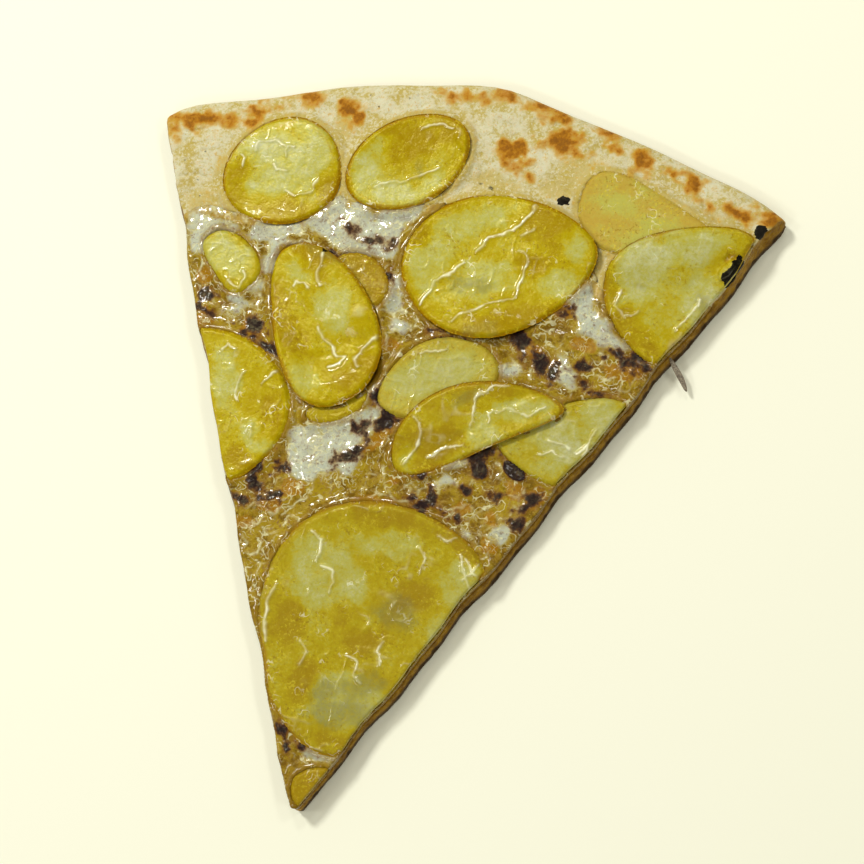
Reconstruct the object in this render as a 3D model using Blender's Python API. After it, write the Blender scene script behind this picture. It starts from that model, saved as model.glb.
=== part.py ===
"""A triangular slice of thin pizza with melted cheese and cooked potato slices.

The slice lies flat with its tip towards -Y and its crust towards +Y. Its base stands on z = 0, and
the origin is below the middle of its bounding box. Dough, cheese, each potato slice and a stray herb
needle are separate solids that lie on one another with a hair's gap between them.
"""

import math
from dataclasses import dataclass

import bmesh
import bpy
from mathutils import Matrix, Vector, noise

MM = 0.001

# Driving dimensions, in millimetres and degrees
GAP = 0.3
DOUGH_THICK = 5.0
CHEESE_THICK = 2.0
POTATO_THICK = 1.7
CRUST_RISE = 1.2

TIP = (-2.1, -114.9)
TIP_BLUNT = 1.6
CUT_LEFT = 26.0
CUT_LEFT_LENGTH = 225.0
CUT_LEFT_BOW = 3.1
CUT_RIGHT = 26.4
CUT_RIGHT_LENGTH = 229.0
CUT_LEAN = 15.0
TIP_LEAN_SHARE = 0.35
TIP_LEAN_REACH = 60.0
CUT_RAGGED = 0.5

RIM_RADIUS = 227.0
RIM_ROUND = 4.0
CHEESE_REACH = 187.0

# How far the rim and the cheese's edge leave their circles: angle, half width, distance
RIM_BUMPS = ((-1.5, 4.5, 3.4), (17.0, 6.0, -3.0), (27.0, 2.0, -3.0), (-24.0, 4.0, 1.8))
CHEESE_BUMPS = ((24.0, 2.5, 4.0), (15.5, 4.0, -7.0), (10.8, 1.2, 4.0), (-6.5, 6.0, 9.0),
                (-18.0, 3.0, -8.0), (-27.0, 3.0, 9.0))

# A piece that lies over another is at full height this far outside it, and flat again at the end
SAG_START = 3.0
SAG_END = 11.0

# Fineness of the meshes
SPREAD = 62.0
COLUMNS = 96
CRUST_ROWS = 9
CHEESE_GRID = 36
SIDE_STEP = 5.0
SIDE_STEPS = 52

BED = DOUGH_THICK + GAP + CHEESE_THICK
HALF_TIP = math.radians((CUT_LEFT + CUT_RIGHT) / 2)
LEAN = math.tan(math.radians(CUT_LEAN))


@dataclass(frozen=True)
class Potato:
    """One cooked potato slice: an oval that may be egg-shaped, bent or squarish."""

    name: str
    x: float
    y: float
    length: float
    width: float
    turn: float
    square: float = 2.0
    egg: float = 0.0
    bend: float = 0.0
    curl: float = 0.5
    wave: float = 0.3
    sides: int = 32
    over: tuple = ()
    cut: bool = False


POTATOES = (
    Potato("potato_rim_left", -56.2, 74.8, 39.4, 34.8, 27, 2.0, 0.11, -0.03, sides=34),
    Potato("potato_rim_middle", -17.2, 85.6, 42.0, 28.6, 36, 1.9, 0.0, 0.04, curl=0.9, sides=34),
    Potato("potato_under_right", 57.8, 81.6, 42.0, 21.5, -8, 2.2, -0.45, 0.3, curl=0.2, sides=30),
    Potato("potato_pale_left", -65.4, 44.6, 23.0, 15.0, -38, 2.6, 0.14, -0.16, 0.2, 0.1, sides=24),
    Potato("potato_under_centre", -23.5, 46.0, 22.0, 18.0, -20, 2.0, curl=0.2, wave=0.1, sides=24),
    Potato("potato_left_edge", -64.0, -3.3, 62.0, 52.0, 14, 1.9, cut=True),
    Potato("potato_pale_middle", 8.4, 20.8, 39.6, 26.0, 29, 1.8, 0.15, -0.08, curl=0.2, sides=28),
    Potato("potato_right_edge", 51.2, 12.0, 44.5, 27.2, 19, 1.8, 0.3, 0.3, curl=0.3, cut=True),
    Potato("potato_sliver", -19.9, 7.0, 21.6, 8.6, 33, 2.2, 0.0, 0.3, 0.1, 0.1, sides=20),
    Potato("potato_near_tip", 5.8, -56.1, 78.0, 65.4, 74, 2.1, 0.19, -0.2, 0.8, 0.5, 46, cut=True),
    Potato("potato_tip_bit", 0.8, -104.0, 15.4, 9.0, 60, 1.9, -0.3, -0.4, 0.1, 0.1, 20, cut=True),
    Potato("potato_centre_left", -31.9, 31.0, 54.6, 32.6, -57, 2.2, 0.19, -0.16, 0.5, 0.3, 36,
           over=("potato_under_centre", "potato_sliver", "potato_left_edge")),
    Potato("potato_half_moon", 23.1, 9.7, 54.8, 21.6, 30, 2.0, -0.28, -0.55, 0.6, 0.3, 36,
           over=("potato_pale_middle", "potato_right_edge")),
    Potato("potato_large_oval", 18.2, 59.8, 61.0, 45.4, 16, 1.8, -0.19, 0.05, 0.7, 0.5, 44,
           over=("potato_under_right", "potato_pale_middle")),
    Potato("potato_right_oval", 75.6, 63.0, 49.0, 41.0, 49, 2.0, -0.4, 0.0, 0.3, 0.3, 38,
           over=("potato_under_right",), cut=True),
)

# Charred flakes stuck to a piece below: piece, x, y, length, width, turn
FLAKES = (
    ("potato_right_oval", 85.2, 71.2, 7.4, 5.0, 60),
    ("dough", 91.8, 84.4, 3.8, 3.2, 20),
    ("dough", 33.2, 83.6, 3.0, 2.4, 0),
)
FLAKE_THICK = 0.9

NEEDLE_FROM = (76.6, 41.2, 4.2)
NEEDLE_TO = (81.3, 34.3, 2.6)
NEEDLE_WIDTH = 1.7

MATERIALS = {
    "dough": ((0.74, 0.62, 0.40), 0.75),
    "cheese": ((0.70, 0.60, 0.28), 0.35),
    "potato": ((0.62, 0.50, 0.08), 0.30),
    "herb": ((0.22, 0.17, 0.10), 0.70),
}


def clear_scene():
    """Remove whatever the file starts with."""
    for item in list(bpy.data.objects):
        bpy.data.objects.remove(item, do_unlink=True)


def make_material(name):
    """Return the named material, with its colour and roughness."""
    found = bpy.data.materials.get(name)
    if found:
        return found
    colour, roughness = MATERIALS[name]
    material = bpy.data.materials.new(name)
    material.use_nodes = True
    shader = material.node_tree.nodes["Principled BSDF"]
    shader.inputs["Base Color"].default_value = (*colour, 1.0)
    shader.inputs["Roughness"].default_value = roughness
    return material


def add_object(name, bm, material=None):
    """Turn a bmesh in millimetres into a named object in metres."""
    bmesh.ops.scale(bm, vec=(MM, MM, MM), verts=bm.verts)
    bmesh.ops.recalc_face_normals(bm, faces=bm.faces)
    mesh = bpy.data.meshes.new(name)
    bm.to_mesh(mesh)
    bm.free()
    item = bpy.data.objects.new(name, mesh)
    bpy.context.scene.collection.objects.link(item)
    if material:
        mesh.materials.append(make_material(material))
    return item


def apply_boolean(item, operation, cutters):
    """Apply one Boolean to the item, with all the cutters in one collection, and drop them."""
    group = bpy.data.collections.new("cutters")
    bpy.context.scene.collection.children.link(group)
    for cutter in cutters:
        group.objects.link(cutter)
    modifier = item.modifiers.new("boolean", "BOOLEAN")
    modifier.operation = operation
    modifier.operand_type = "COLLECTION"
    modifier.collection = group
    modifier.solver = "EXACT"
    bpy.context.view_layer.update()
    evaluated = item.evaluated_get(bpy.context.evaluated_depsgraph_get())
    mesh = bpy.data.meshes.new_from_object(evaluated)
    item.modifiers.clear()
    item.data = mesh
    for cutter in cutters:
        bpy.data.objects.remove(cutter, do_unlink=True)
    bpy.data.collections.remove(group)
    tidy_mesh(item)


def tidy_mesh(item):
    """Merge points closer than a hundredth of a millimetre, and keep the faces pointing out."""
    bm = bmesh.new()
    bm.from_mesh(item.data)
    bmesh.ops.remove_doubles(bm, verts=bm.verts, dist=0.01 * MM)
    bmesh.ops.dissolve_degenerate(bm, edges=bm.edges, dist=0.01 * MM)
    bmesh.ops.triangulate(bm, faces=bm.faces)
    bmesh.ops.recalc_face_normals(bm, faces=bm.faces)
    bm.to_mesh(item.data)
    bm.free()


def smooth(low, high, value):
    """Rise smoothly from 0 at low to 1 at high."""
    t = min(max((value - low) / (high - low), 0.0), 1.0)
    return t * t * (3 - 2 * t)


def polar(x, y):
    """Return the distance from the tip, and the angle from the middle line, positive leftwards."""
    dx, dy = x - TIP[0], y - TIP[1]
    return math.hypot(dx, dy), math.degrees(math.atan2(-dx, dy))


def bumpy_radius(radius, bumps, angle):
    """Return a circle's radius with its named bumps added."""
    return radius + sum(h * math.exp(-((angle - at) / width) ** 2) for at, width, h in bumps)


def rim_radius(angle):
    """Return the outer radius of the crust at an angle."""
    return bumpy_radius(RIM_RADIUS, RIM_BUMPS, angle)


def cheese_radius(angle):
    """Return how far from the tip the cheese reaches at an angle."""
    return bumpy_radius(CHEESE_REACH, CHEESE_BUMPS, angle)


def bed_height(x, y):
    """Return the height of the surface that the toppings lie on: flat cheese, then a low crust."""
    radius, angle = polar(x, y)
    inner, outer = cheese_radius(angle), rim_radius(angle)
    across = (radius - inner) / (outer - inner)
    swell = CRUST_RISE * smooth(0.0, 0.65, across) * (1 - 0.35 * smooth(0.7, 1.0, across))
    return BED + swell


def roughness_at(x, y, size, seed):
    """Return smooth noise between about -1 and 1, with waves about as long as size."""
    return noise.noise(Vector((x / size, y / size, seed)))


def outline_point(potato, angle):
    """Return the point of a potato slice's outline at an angle round it."""
    cosine, sine = math.cos(angle), math.sin(angle)
    power = 2 / potato.square
    along = math.copysign(abs(cosine) ** power, cosine)
    across = math.copysign(abs(sine) ** power, sine) * (1 + potato.egg * along)
    across += potato.bend * (along * along - 0.5)
    return along * potato.length / 2, across * potato.width / 2


def to_world(potato, along, across):
    """Turn a point from a potato slice's own axes into the part's."""
    turn = math.radians(potato.turn)
    x = potato.x + along * math.cos(turn) - across * math.sin(turn)
    y = potato.y + along * math.sin(turn) + across * math.cos(turn)
    return x, y


def distance_outside(potato, x, y):
    """Return about how far a point lies outside a potato slice, negative inside it."""
    turn = math.radians(potato.turn)
    dx, dy = x - potato.x, y - potato.y
    along = (dx * math.cos(turn) + dy * math.sin(turn)) / (potato.length / 2)
    across = (-dx * math.sin(turn) + dy * math.cos(turn)) / (potato.width / 2)
    held = max(-1.1, min(1.1, along))
    across = (across - potato.bend * (held * held - 0.5)) / (1 + potato.egg * held)
    level = (abs(along) ** potato.square + abs(across) ** potato.square) ** (1 / potato.square)
    return (level - 1) * min(potato.length, potato.width) / 2


def side_point(left, u, z):
    """Return a point of a cut face, u along it from the tip and z up it."""
    half = math.radians(CUT_LEFT if left else CUT_RIGHT)
    length = CUT_LEFT_LENGTH if left else CUT_RIGHT_LENGTH
    sign = -1 if left else 1
    bow = CUT_LEFT_BOW * math.sqrt(math.sin(math.pi * min(u / length, 1.0))) if left else 0.0
    ragged = CUT_RAGGED * (math.sin(u / 7.5 + sign) + 0.7 * math.sin(u / 3.6 + 2 * sign))
    out = bow + ragged * smooth(2.0, 20.0, u)
    x = TIP[0] + sign * (u * math.sin(half) + out * math.cos(half))
    share = TIP_LEAN_SHARE + (1 - TIP_LEAN_SHARE) * smooth(0.0, TIP_LEAN_REACH, u)
    y = TIP[1] + u * math.cos(half) - out * math.sin(half) + share * LEAN * z / math.sin(HALF_TIP)
    return x, y, z


def prism(bm, low_points, high_points):
    """Make a closed prism between two loops that have as many points."""
    count = len(low_points)
    face = bm.faces.new([bm.verts.new(p) for p in low_points])
    raised = bmesh.ops.extrude_face_region(bm, geom=[face])["geom"]
    tops = [v for v in raised if isinstance(v, bmesh.types.BMVert)]
    for vert in tops:
        index = min(range(count), key=lambda i: (Vector(low_points[i]) - vert.co).length)
        vert.co = high_points[index]


def wedge_cutter():
    """Return a prism that keeps what lies between the two cuts, however far out."""
    steps = [TIP_BLUNT + i * SIDE_STEP for i in range(SIDE_STEPS)]
    loops = []
    for z in (-2.0, 20.0):
        left = [side_point(True, u, z) for u in steps]
        right = [side_point(False, u, z) for u in steps]
        loops.append(left + right[::-1])
    bm = bmesh.new()
    prism(bm, *loops)
    return add_object("wedge_cutter", bm)


def cheese_cutter():
    """Return a prism that keeps what lies inside the cheese's outer edge."""
    loops = []
    for z in (-2.0, 20.0):
        arc = []
        for column in range(COLUMNS + 1):
            angle = SPREAD - 2 * SPREAD * column / COLUMNS
            radius, turn = cheese_radius(angle) - 2 * GAP, math.radians(angle)
            arc.append((TIP[0] - radius * math.sin(turn), TIP[1] + radius * math.cos(turn), z))
        loops.append(arc + [(TIP[0], TIP[1] - 30.0, z)])
    bm = bmesh.new()
    prism(bm, *loops)
    return add_object("cheese_cutter", bm)


def dough_profile():
    """Return the dough's section from the tip outwards, on circles of the nominal radii."""
    bottom = [(1.0, 0.0), (RIM_RADIUS - RIM_ROUND, 0.0)]
    edge = []
    for step in range(1, 6):
        turn = math.radians(-90 + 180 * step / 6)
        edge.append((RIM_RADIUS - RIM_ROUND * (1 - math.cos(turn)), BED / 2 * (1 + math.sin(turn))))
    span = RIM_RADIUS - RIM_ROUND - CHEESE_REACH
    crust = [(RIM_RADIUS - RIM_ROUND - span * i / CRUST_ROWS, BED) for i in range(CRUST_ROWS + 1)]
    recess = [(CHEESE_REACH, DOUGH_THICK), (1.0, DOUGH_THICK)]
    return bottom + edge + crust + recess


def place_dough(co):
    """Return where a point of the spun dough goes, with the uneven rim and the crust's relief."""
    radius, angle = math.hypot(co.x, co.y), math.degrees(math.atan2(-co.x, co.y))
    inner, outer = cheese_radius(angle), rim_radius(angle)
    if radius <= CHEESE_REACH:
        far = radius * inner / CHEESE_REACH
    else:
        far = inner + (outer - inner) * (radius - CHEESE_REACH) / (RIM_RADIUS - CHEESE_REACH)
    turn = math.radians(angle)
    x, y, z = TIP[0] - far * math.sin(turn), TIP[1] + far * math.cos(turn), co.z
    if radius > CHEESE_REACH - 0.01 and z > DOUGH_THICK + GAP:
        z = bed_height(x, y) * z / BED + crust_relief(x, y)
    return x, y, z


def nearest_potato(x, y):
    """Return how far a point is outside the nearest potato slice."""
    return min(distance_outside(potato, x, y) for potato in POTATOES)


def crust_relief(x, y):
    """Return the crust's low blisters and hollows, which keep away from the potato slices."""
    blister = 0.7 * roughness_at(x, y, 17.0, 3.0) + 0.35 * roughness_at(x, y, 7.0, 8.0)
    return blister * smooth(2.0, 8.0, nearest_potato(x, y))


def cheese_relief(x, y):
    """Return the cheese's bubbles between the potato slices."""
    bubble = 0.5 + 0.9 * roughness_at(x, y, 9.0, 5.0) + 0.4 * roughness_at(x, y, 4.5, 2.0)
    return bubble * smooth(1.5, 6.0, nearest_potato(x, y))


def build_dough():
    """Build the dough: a thin base with a recess for the cheese, and a low round crust."""
    bm = bmesh.new()
    points = dough_profile()
    verts = [bm.verts.new((0.0, radius, z)) for radius, z in points]
    edges = [bm.edges.new((verts[i], verts[i - 1])) for i in range(len(verts))]
    bmesh.ops.rotate(bm, verts=verts, matrix=Matrix.Rotation(math.radians(SPREAD), 3, "Z"))
    spun = bmesh.ops.spin(bm, geom=verts + edges, axis=(0, 0, 1), cent=(0, 0, 0),
                          angle=math.radians(-2 * SPREAD), steps=COLUMNS)
    last = [e for e in spun["geom_last"] if isinstance(e, bmesh.types.BMEdge)]
    bmesh.ops.contextual_create(bm, geom=edges)
    bmesh.ops.contextual_create(bm, geom=last)
    for vert in bm.verts:
        vert.co = place_dough(vert.co)
    dough = add_object("dough", bm, "dough")
    apply_boolean(dough, "INTERSECT", [wedge_cutter()])
    return dough


def build_cheese():
    """Build the melted cheese: a sheet that is flat below and bubbly above."""
    bm = bmesh.new()
    half = 104.0
    bmesh.ops.create_grid(bm, x_segments=CHEESE_GRID, y_segments=CHEESE_GRID, size=half)
    bmesh.ops.translate(bm, verts=bm.verts, vec=(0.0, TIP[1] + half - 6.0, DOUGH_THICK + GAP))
    raised = bmesh.ops.extrude_face_region(bm, geom=bm.faces[:])["geom"]
    tops = [v for v in raised if isinstance(v, bmesh.types.BMVert)]
    bottoms = [f for f in bm.faces if all(v.co.z < BED and v not in tops for v in f.verts)]
    bmesh.ops.dissolve_faces(bm, faces=bottoms)
    for vert in tops:
        vert.co.z = BED + cheese_relief(vert.co.x, vert.co.y)
    cheese = add_object("cheese", bm, "cheese")
    apply_boolean(cheese, "INTERSECT", [wedge_cutter()])
    apply_boolean(cheese, "INTERSECT", [cheese_cutter()])
    return cheese


def base_height(potato, x, y):
    """Return the height of a potato slice's underside: it sags on to whatever lies below it."""
    height = bed_height(x, y) + GAP
    lower = [other for other in POTATOES if other.name in potato.over]
    lift = max((smooth(SAG_END, SAG_START, distance_outside(o, x, y)) for o in lower), default=0.0)
    return height + lift * (POTATO_THICK + GAP + 0.1)


def build_potato(potato):
    """Build one potato slice: a coin pushed into its outline and draped over what is below."""
    bm = bmesh.new()
    section = ((0.0, 1.0), (0.42, 1.0), (0.74, 1.0), (0.94, 0.95), (1.0, 0.5),
               (0.95, 0.0), (0.74, 0.0), (0.42, 0.0), (0.0, 0.0))
    verts = [bm.verts.new((radius, 0.0, height)) for radius, height in section]
    edges = [bm.edges.new(pair) for pair in zip(verts, verts[1:])]
    bmesh.ops.spin(bm, geom=verts + edges, axis=(0, 0, 1), cent=(0, 0, 0),
                   angle=2 * math.pi, steps=potato.sides, use_merge=True)
    bmesh.ops.remove_doubles(bm, verts=bm.verts, dist=0.0001)
    for vert in bm.verts:
        out, angle = math.hypot(vert.co.x, vert.co.y), math.atan2(vert.co.y, vert.co.x)
        along, across = outline_point(potato, angle)
        x, y = to_world(potato, along * out, across * out)
        rise = out ** 3 * (potato.curl + potato.wave * math.sin(3 * angle + potato.x))
        vert.co = (x, y, base_height(potato, x, y) + max(rise, 0.0) + POTATO_THICK * vert.co.z)
    item = add_object(potato.name, bm, "potato")
    if potato.cut:
        apply_boolean(item, "INTERSECT", [wedge_cutter()])
    return item


def build_flake(x, y, z, length, width, turn):
    """Return one angular flake of char, half sunk in what it lies on."""
    bm = bmesh.new()
    bmesh.ops.create_cone(bm, cap_ends=True, segments=7, radius1=0.5, radius2=0.38, depth=1.0)
    for vert in bm.verts:
        uneven = 1 + 0.3 * math.sin(5 * math.atan2(vert.co.y, vert.co.x) + x)
        vert.co.x *= length * uneven
        vert.co.y *= width * uneven
        vert.co.z *= FLAKE_THICK * 2
    bmesh.ops.rotate(bm, verts=bm.verts, matrix=Matrix.Rotation(math.radians(turn), 3, "Z"))
    bmesh.ops.translate(bm, verts=bm.verts, vec=(x, y, z))
    return add_object("flake", bm)


def top_height(item, x, y):
    """Return the height of an object's upper surface at a place, in millimetres."""
    hit, point, _, _ = item.ray_cast(Vector((x, y, 50.0)) * MM, Vector((0, 0, -1)))
    return point.z / MM if hit else BED


def fuse_flakes(pieces):
    """Join the charred flakes to the pieces that they lie on."""
    for name in sorted({flake[0] for flake in FLAKES}):
        host = pieces[name]
        bpy.context.view_layer.update()
        own = [flake[1:] for flake in FLAKES if flake[0] == name]
        cutters = [build_flake(x, y, top_height(host, x, y), *rest) for x, y, *rest in own]
        apply_boolean(host, "UNION", cutters)


def build_needle():
    """Build the dry herb needle that sticks out of the right cut."""
    start, end = Vector(NEEDLE_FROM), Vector(NEEDLE_TO)
    length = (end - start).length
    bm = bmesh.new()
    bmesh.ops.create_uvsphere(bm, u_segments=10, v_segments=8, radius=0.5)
    for vert in bm.verts:
        vert.co.x *= NEEDLE_WIDTH
        vert.co.y = vert.co.y * NEEDLE_WIDTH * 0.6 + 1.2 * vert.co.z * vert.co.z
        vert.co.z *= length
    turn = (end - start).to_track_quat("Z", "Y").to_matrix()
    bmesh.ops.rotate(bm, verts=bm.verts, matrix=turn)
    bmesh.ops.translate(bm, verts=bm.verts, vec=(start + end) / 2)
    return add_object("herb_needle", bm, "herb")


def centre_on_floor(items):
    """Shift every piece so that the middle of the base of their bounding box is the origin."""
    points = [v.co for item in items for v in item.data.vertices]
    low = Vector(min(p[axis] for p in points) for axis in range(3))
    high = Vector(max(p[axis] for p in points) for axis in range(3))
    shift = Vector((-(low.x + high.x) / 2, -(low.y + high.y) / 2, -low.z))
    for item in items:
        item.data.transform(Matrix.Translation(shift))


def main():
    """Build every piece."""
    clear_scene()
    pieces = {"dough": build_dough(), "cheese": build_cheese(), "herb_needle": build_needle()}
    for potato in POTATOES:
        pieces[potato.name] = build_potato(potato)
    fuse_flakes(pieces)
    centre_on_floor(list(pieces.values()))


main()
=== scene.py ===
"""The looks of a slice of potato pizza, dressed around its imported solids.

Each solid is replaced by a finer piece of the same form: a copy of its mesh, remeshed, with its
relief moved into its points and its marks kept as attributes that its material reads. Marks and
folds that the photograph shows are given by where they are in it, in pixels of its 864 by 864
frame. Lengths are in millimetres until a mesh is finished.
"""

import logging
import math
from dataclasses import dataclass
from enum import Enum
from itertools import product

import bmesh
import bpy
import numpy as np
from mathutils import Matrix, Vector
from mathutils.bvhtree import BVHTree
from mathutils.kdtree import KDTree


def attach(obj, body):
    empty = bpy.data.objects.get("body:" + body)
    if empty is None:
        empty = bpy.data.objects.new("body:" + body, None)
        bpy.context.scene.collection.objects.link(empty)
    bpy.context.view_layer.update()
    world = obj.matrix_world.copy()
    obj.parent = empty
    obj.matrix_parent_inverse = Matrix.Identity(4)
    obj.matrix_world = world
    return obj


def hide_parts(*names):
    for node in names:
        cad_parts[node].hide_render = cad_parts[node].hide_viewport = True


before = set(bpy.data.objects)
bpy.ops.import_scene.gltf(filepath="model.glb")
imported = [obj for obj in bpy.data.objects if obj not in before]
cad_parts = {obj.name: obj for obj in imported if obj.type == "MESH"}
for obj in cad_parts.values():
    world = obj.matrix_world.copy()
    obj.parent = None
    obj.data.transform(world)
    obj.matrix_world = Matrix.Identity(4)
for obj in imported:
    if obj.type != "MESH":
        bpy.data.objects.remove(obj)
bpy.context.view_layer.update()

LOG = logging.getLogger("potato_pizza_slice")
MM = 0.001
BODY = "root"
TIP = (-1.54, -115.78)
FAR = 1e6
SHELTERED = 0.7
FLOOR_GAP = 0.05


class Tone(Enum):
    """How pale the flesh of a potato slice is, where less of it means more of the oil's yellow."""

    BROWNED = -0.2
    YELLOW = 0.36
    MILD = 0.52


def ease(low: float, high: float, value: np.ndarray) -> np.ndarray:
    """Rise smoothly from 0 to 1.

    Args:
        low: Where the rise starts.
        high: Where it ends.
        value: The values to look up.

    Returns:
        A share from 0 to 1 for each value.
    """
    t = np.clip((value - low) / (high - low), 0.0, 1.0)
    return t * t * (3 - 2 * t)


def line_distance(pixels: np.ndarray, line: tuple) -> np.ndarray:
    """Measure how far points lie from a line through several places.

    Args:
        pixels: The points, one a row.
        line: The places that the line follows.

    Returns:
        The distance of each point, in pixels.
    """
    nearest = np.full(len(pixels), FAR)
    for start, end in zip(line, line[1:]):
        a, b = np.array(start, float), np.array(end, float)
        share = np.clip(((pixels - a) @ (b - a)) / ((b - a) @ (b - a)), 0, 1)
        nearest = np.minimum(nearest, np.linalg.norm(pixels - a - share[:, None] * (b - a), axis=1))
    return nearest


def patch_depth(pixels: np.ndarray, outline: tuple) -> np.ndarray:
    """Measure how deep points lie inside a closed outline.

    Args:
        pixels: The points, one a row.
        outline: The corners of the outline, in order.

    Returns:
        The depth of each point in pixels, negative outside.
    """
    inside = np.zeros(len(pixels), bool)
    for (ax, ay), (bx, by) in zip(outline, outline[1:] + outline[:1]):
        spans = (ay > pixels[:, 1]) != (by > pixels[:, 1])
        if ay != by:
            crossing = ax + (pixels[:, 1] - ay) * (bx - ax) / (by - ay)
            inside ^= spans & (pixels[:, 0] < crossing)
    away = line_distance(pixels, outline + outline[:1])
    return np.where(inside, away, -away)


class Grain:
    """Smooth seeded unevenness in space."""

    CELLS = 64
    FIRST = 0.6
    FADE = 0.55
    APART = 7.3

    def __init__(self, seed: int) -> None:
        """Fill the table that the unevenness is read from."""
        self.table = np.random.default_rng(seed).uniform(-1, 1, (self.CELLS,) * 3)

    def wave(self, points: np.ndarray, size: float, shift: float = 0.0) -> np.ndarray:
        """Read one layer of unevenness.

        Args:
            points: The places, one a row.
            size: The length of its waves, in the points' own unit.
            shift: How far along the table it is read, so that layers differ.

        Returns:
            A value from -1 to 1 for each place.
        """
        scaled = points / size + shift
        base = np.floor(scaled).astype(int)
        part = scaled - base
        part = part * part * part * (part * (part * 6 - 15) + 10)
        total = np.zeros(len(points))
        for corner in product((0, 1), repeat=3):
            place = (base + corner) % self.CELLS
            weight = np.prod(np.where(np.array(corner) == 1, part, 1 - part), axis=1)
            total += weight * self.table[place[:, 0], place[:, 1], place[:, 2]]
        return total

    def rough(self, points: np.ndarray, size: float, layers: int = 3,
              shift: float = 0.0) -> np.ndarray:
        """Add up finer and finer layers.

        Args:
            points: The places, one a row.
            size: The length of the longest waves.
            layers: How many layers there are, each half as long as the last.
            shift: How far along the table they are read.

        Returns:
            A value from about -1 to 1 for each place.
        """
        total, share = np.zeros(len(points)), self.FIRST
        for layer in range(layers):
            total += share * self.wave(points, size / 2 ** layer, shift + self.APART * layer)
            share *= self.FADE
        return total


@dataclass(frozen=True)
class PhotoView:
    """The photograph's camera, nearly overhead and leaning towards the right-hand cut."""

    target: tuple = (11.26, 4.66, 8.5)
    leans_to: tuple = (0.903, -0.431)
    lean: float = 14.0
    picture_up: tuple = (-0.245, 0.969)
    lens: float = 65.0
    sensor: float = 36.0
    field: float = 259.0
    pixels: int = 864
    clip: tuple = (0.01, 20.0)

    def axes(self) -> tuple:
        """Find which way the picture faces.

        Returns:
            The directions of its right, its top and its viewer.
        """
        tilt = math.radians(self.lean)
        flat = Vector((*self.leans_to, 0.0)).normalized()
        back = flat * math.sin(tilt) + Vector((0, 0, math.cos(tilt)))
        up = Vector((*self.picture_up, 0.0))
        up = (up - back * up.dot(back)).normalized()
        return up.cross(back), up, back

    def eye(self) -> Vector:
        """Return where the camera stands."""
        return Vector(self.target) + self.axes()[2] * (self.field * self.lens / self.sensor)

    def to_pixels(self, points: np.ndarray) -> np.ndarray:
        """Find where points of the slice fall in the photograph.

        Args:
            points: The points in millimetres, one a row.

        Returns:
            Their pixel coordinates, one pair a row.
        """
        right, up, back = (np.array(axis) for axis in self.axes())
        seen = points - np.array(self.eye())
        scale = self.lens / self.sensor * self.pixels / -(seen @ back)
        half = self.pixels / 2
        return np.stack([half + (seen @ right) * scale, half - (seen @ up) * scale], axis=1)

    def add_camera(self) -> None:
        """Put the camera in the scene."""
        data = bpy.data.cameras.new("camera")
        data.lens, data.sensor_width = self.lens, self.sensor
        camera = bpy.data.objects.new("camera", data)
        bpy.context.scene.collection.objects.link(camera)
        turn = Matrix([list(axis) for axis in self.axes()]).transposed().to_4x4()
        camera.matrix_world = Matrix.Translation(self.eye() * MM) @ turn
        data.clip_start, data.clip_end = self.clip
        bpy.context.scene.camera = camera


@dataclass(frozen=True)
class Marks:
    """Marks of one kind, where the photograph shows them, in its pixels.

    An oval is x, y, half length, half width and, if it is turned, its turn in degrees. A patch is
    the corners of an outline. Their edges are soft over a width, and ragged by a crumb's size.
    """

    ovals: tuple
    soft: float
    ragged: float
    crumb: float
    patches: tuple = ()

    def cover(self, pixels: np.ndarray, grain: Grain) -> np.ndarray:
        """Work out how fully the marks cover places in the photograph.

        Args:
            pixels: The places, one a row.
            grain: What makes their edges uneven.

        Returns:
            A share from 0 to 1 for each place.
        """
        depth = np.full(len(pixels), -FAR)
        for x, y, long, wide, *turn in self.ovals:
            angle = math.radians(turn[0]) if turn else 0.0
            cosine, sine = math.cos(angle), math.sin(angle)
            dx, dy = pixels[:, 0] - x, pixels[:, 1] - y
            along, across = (dx * cosine + dy * sine) / long, (dy * cosine - dx * sine) / wide
            depth = np.maximum(depth, (1 - np.hypot(along, across)) * min(long, wide))
        for outline in self.patches:
            depth = np.maximum(depth, patch_depth(pixels, outline))
        flat = np.column_stack([pixels, np.zeros(len(pixels))])
        depth += self.ragged * grain.rough(flat, self.crumb)
        return ease(-self.soft / 2, self.soft / 2, depth)


WHITE_CHEESE = Marks(
    soft=10.0, ragged=8.0, crumb=14.0,
    ovals=(
        (395, 300, 12, 20), (398, 326, 14, 9, 30), (565, 372, 10, 18, -10), (505, 372, 12, 6),
        (448, 480, 11, 7), (500, 536, 12, 8, -20), (216, 226, 26, 12, 15), (250, 285, 18, 7, -20),
        (240, 308, 20, 7, -15), (318, 752, 14, 6, 20), (392, 385, 14, 5, -50),
        (368, 398, 16, 5, -40), (292, 232, 22, 8), (272, 256, 7, 24, 10), (203, 227, 14, 12),
        (262, 230, 14, 12), (256, 284, 14, 12), (244, 303, 18, 7, 20), (315, 218, 12, 10),
        (220, 210, 24, 9), (205, 236, 14, 16), (356, 214, 22, 12), (300, 244, 20, 7, 10),
        (460, 462, 14, 5, -30), (476, 520, 9, 4, 30), (470, 535, 10, 5, 30), (560, 318, 8, 5),
    ),
    patches=(
        ((283, 222), (312, 204), (335, 192), (345, 200), (375, 222), (395, 203), (425, 206),
        (405, 232), (398, 258), (385, 262), (345, 256), (322, 240)), ((562, 296), (592, 285),
        (600, 320), (622, 338), (642, 347), (622, 358), (592, 348), (576, 325)), ((282, 448),
        (298, 426), (340, 420), (390, 398), (382, 430), (352, 470), (312, 482), (290, 472)),
    ),
)
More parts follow.
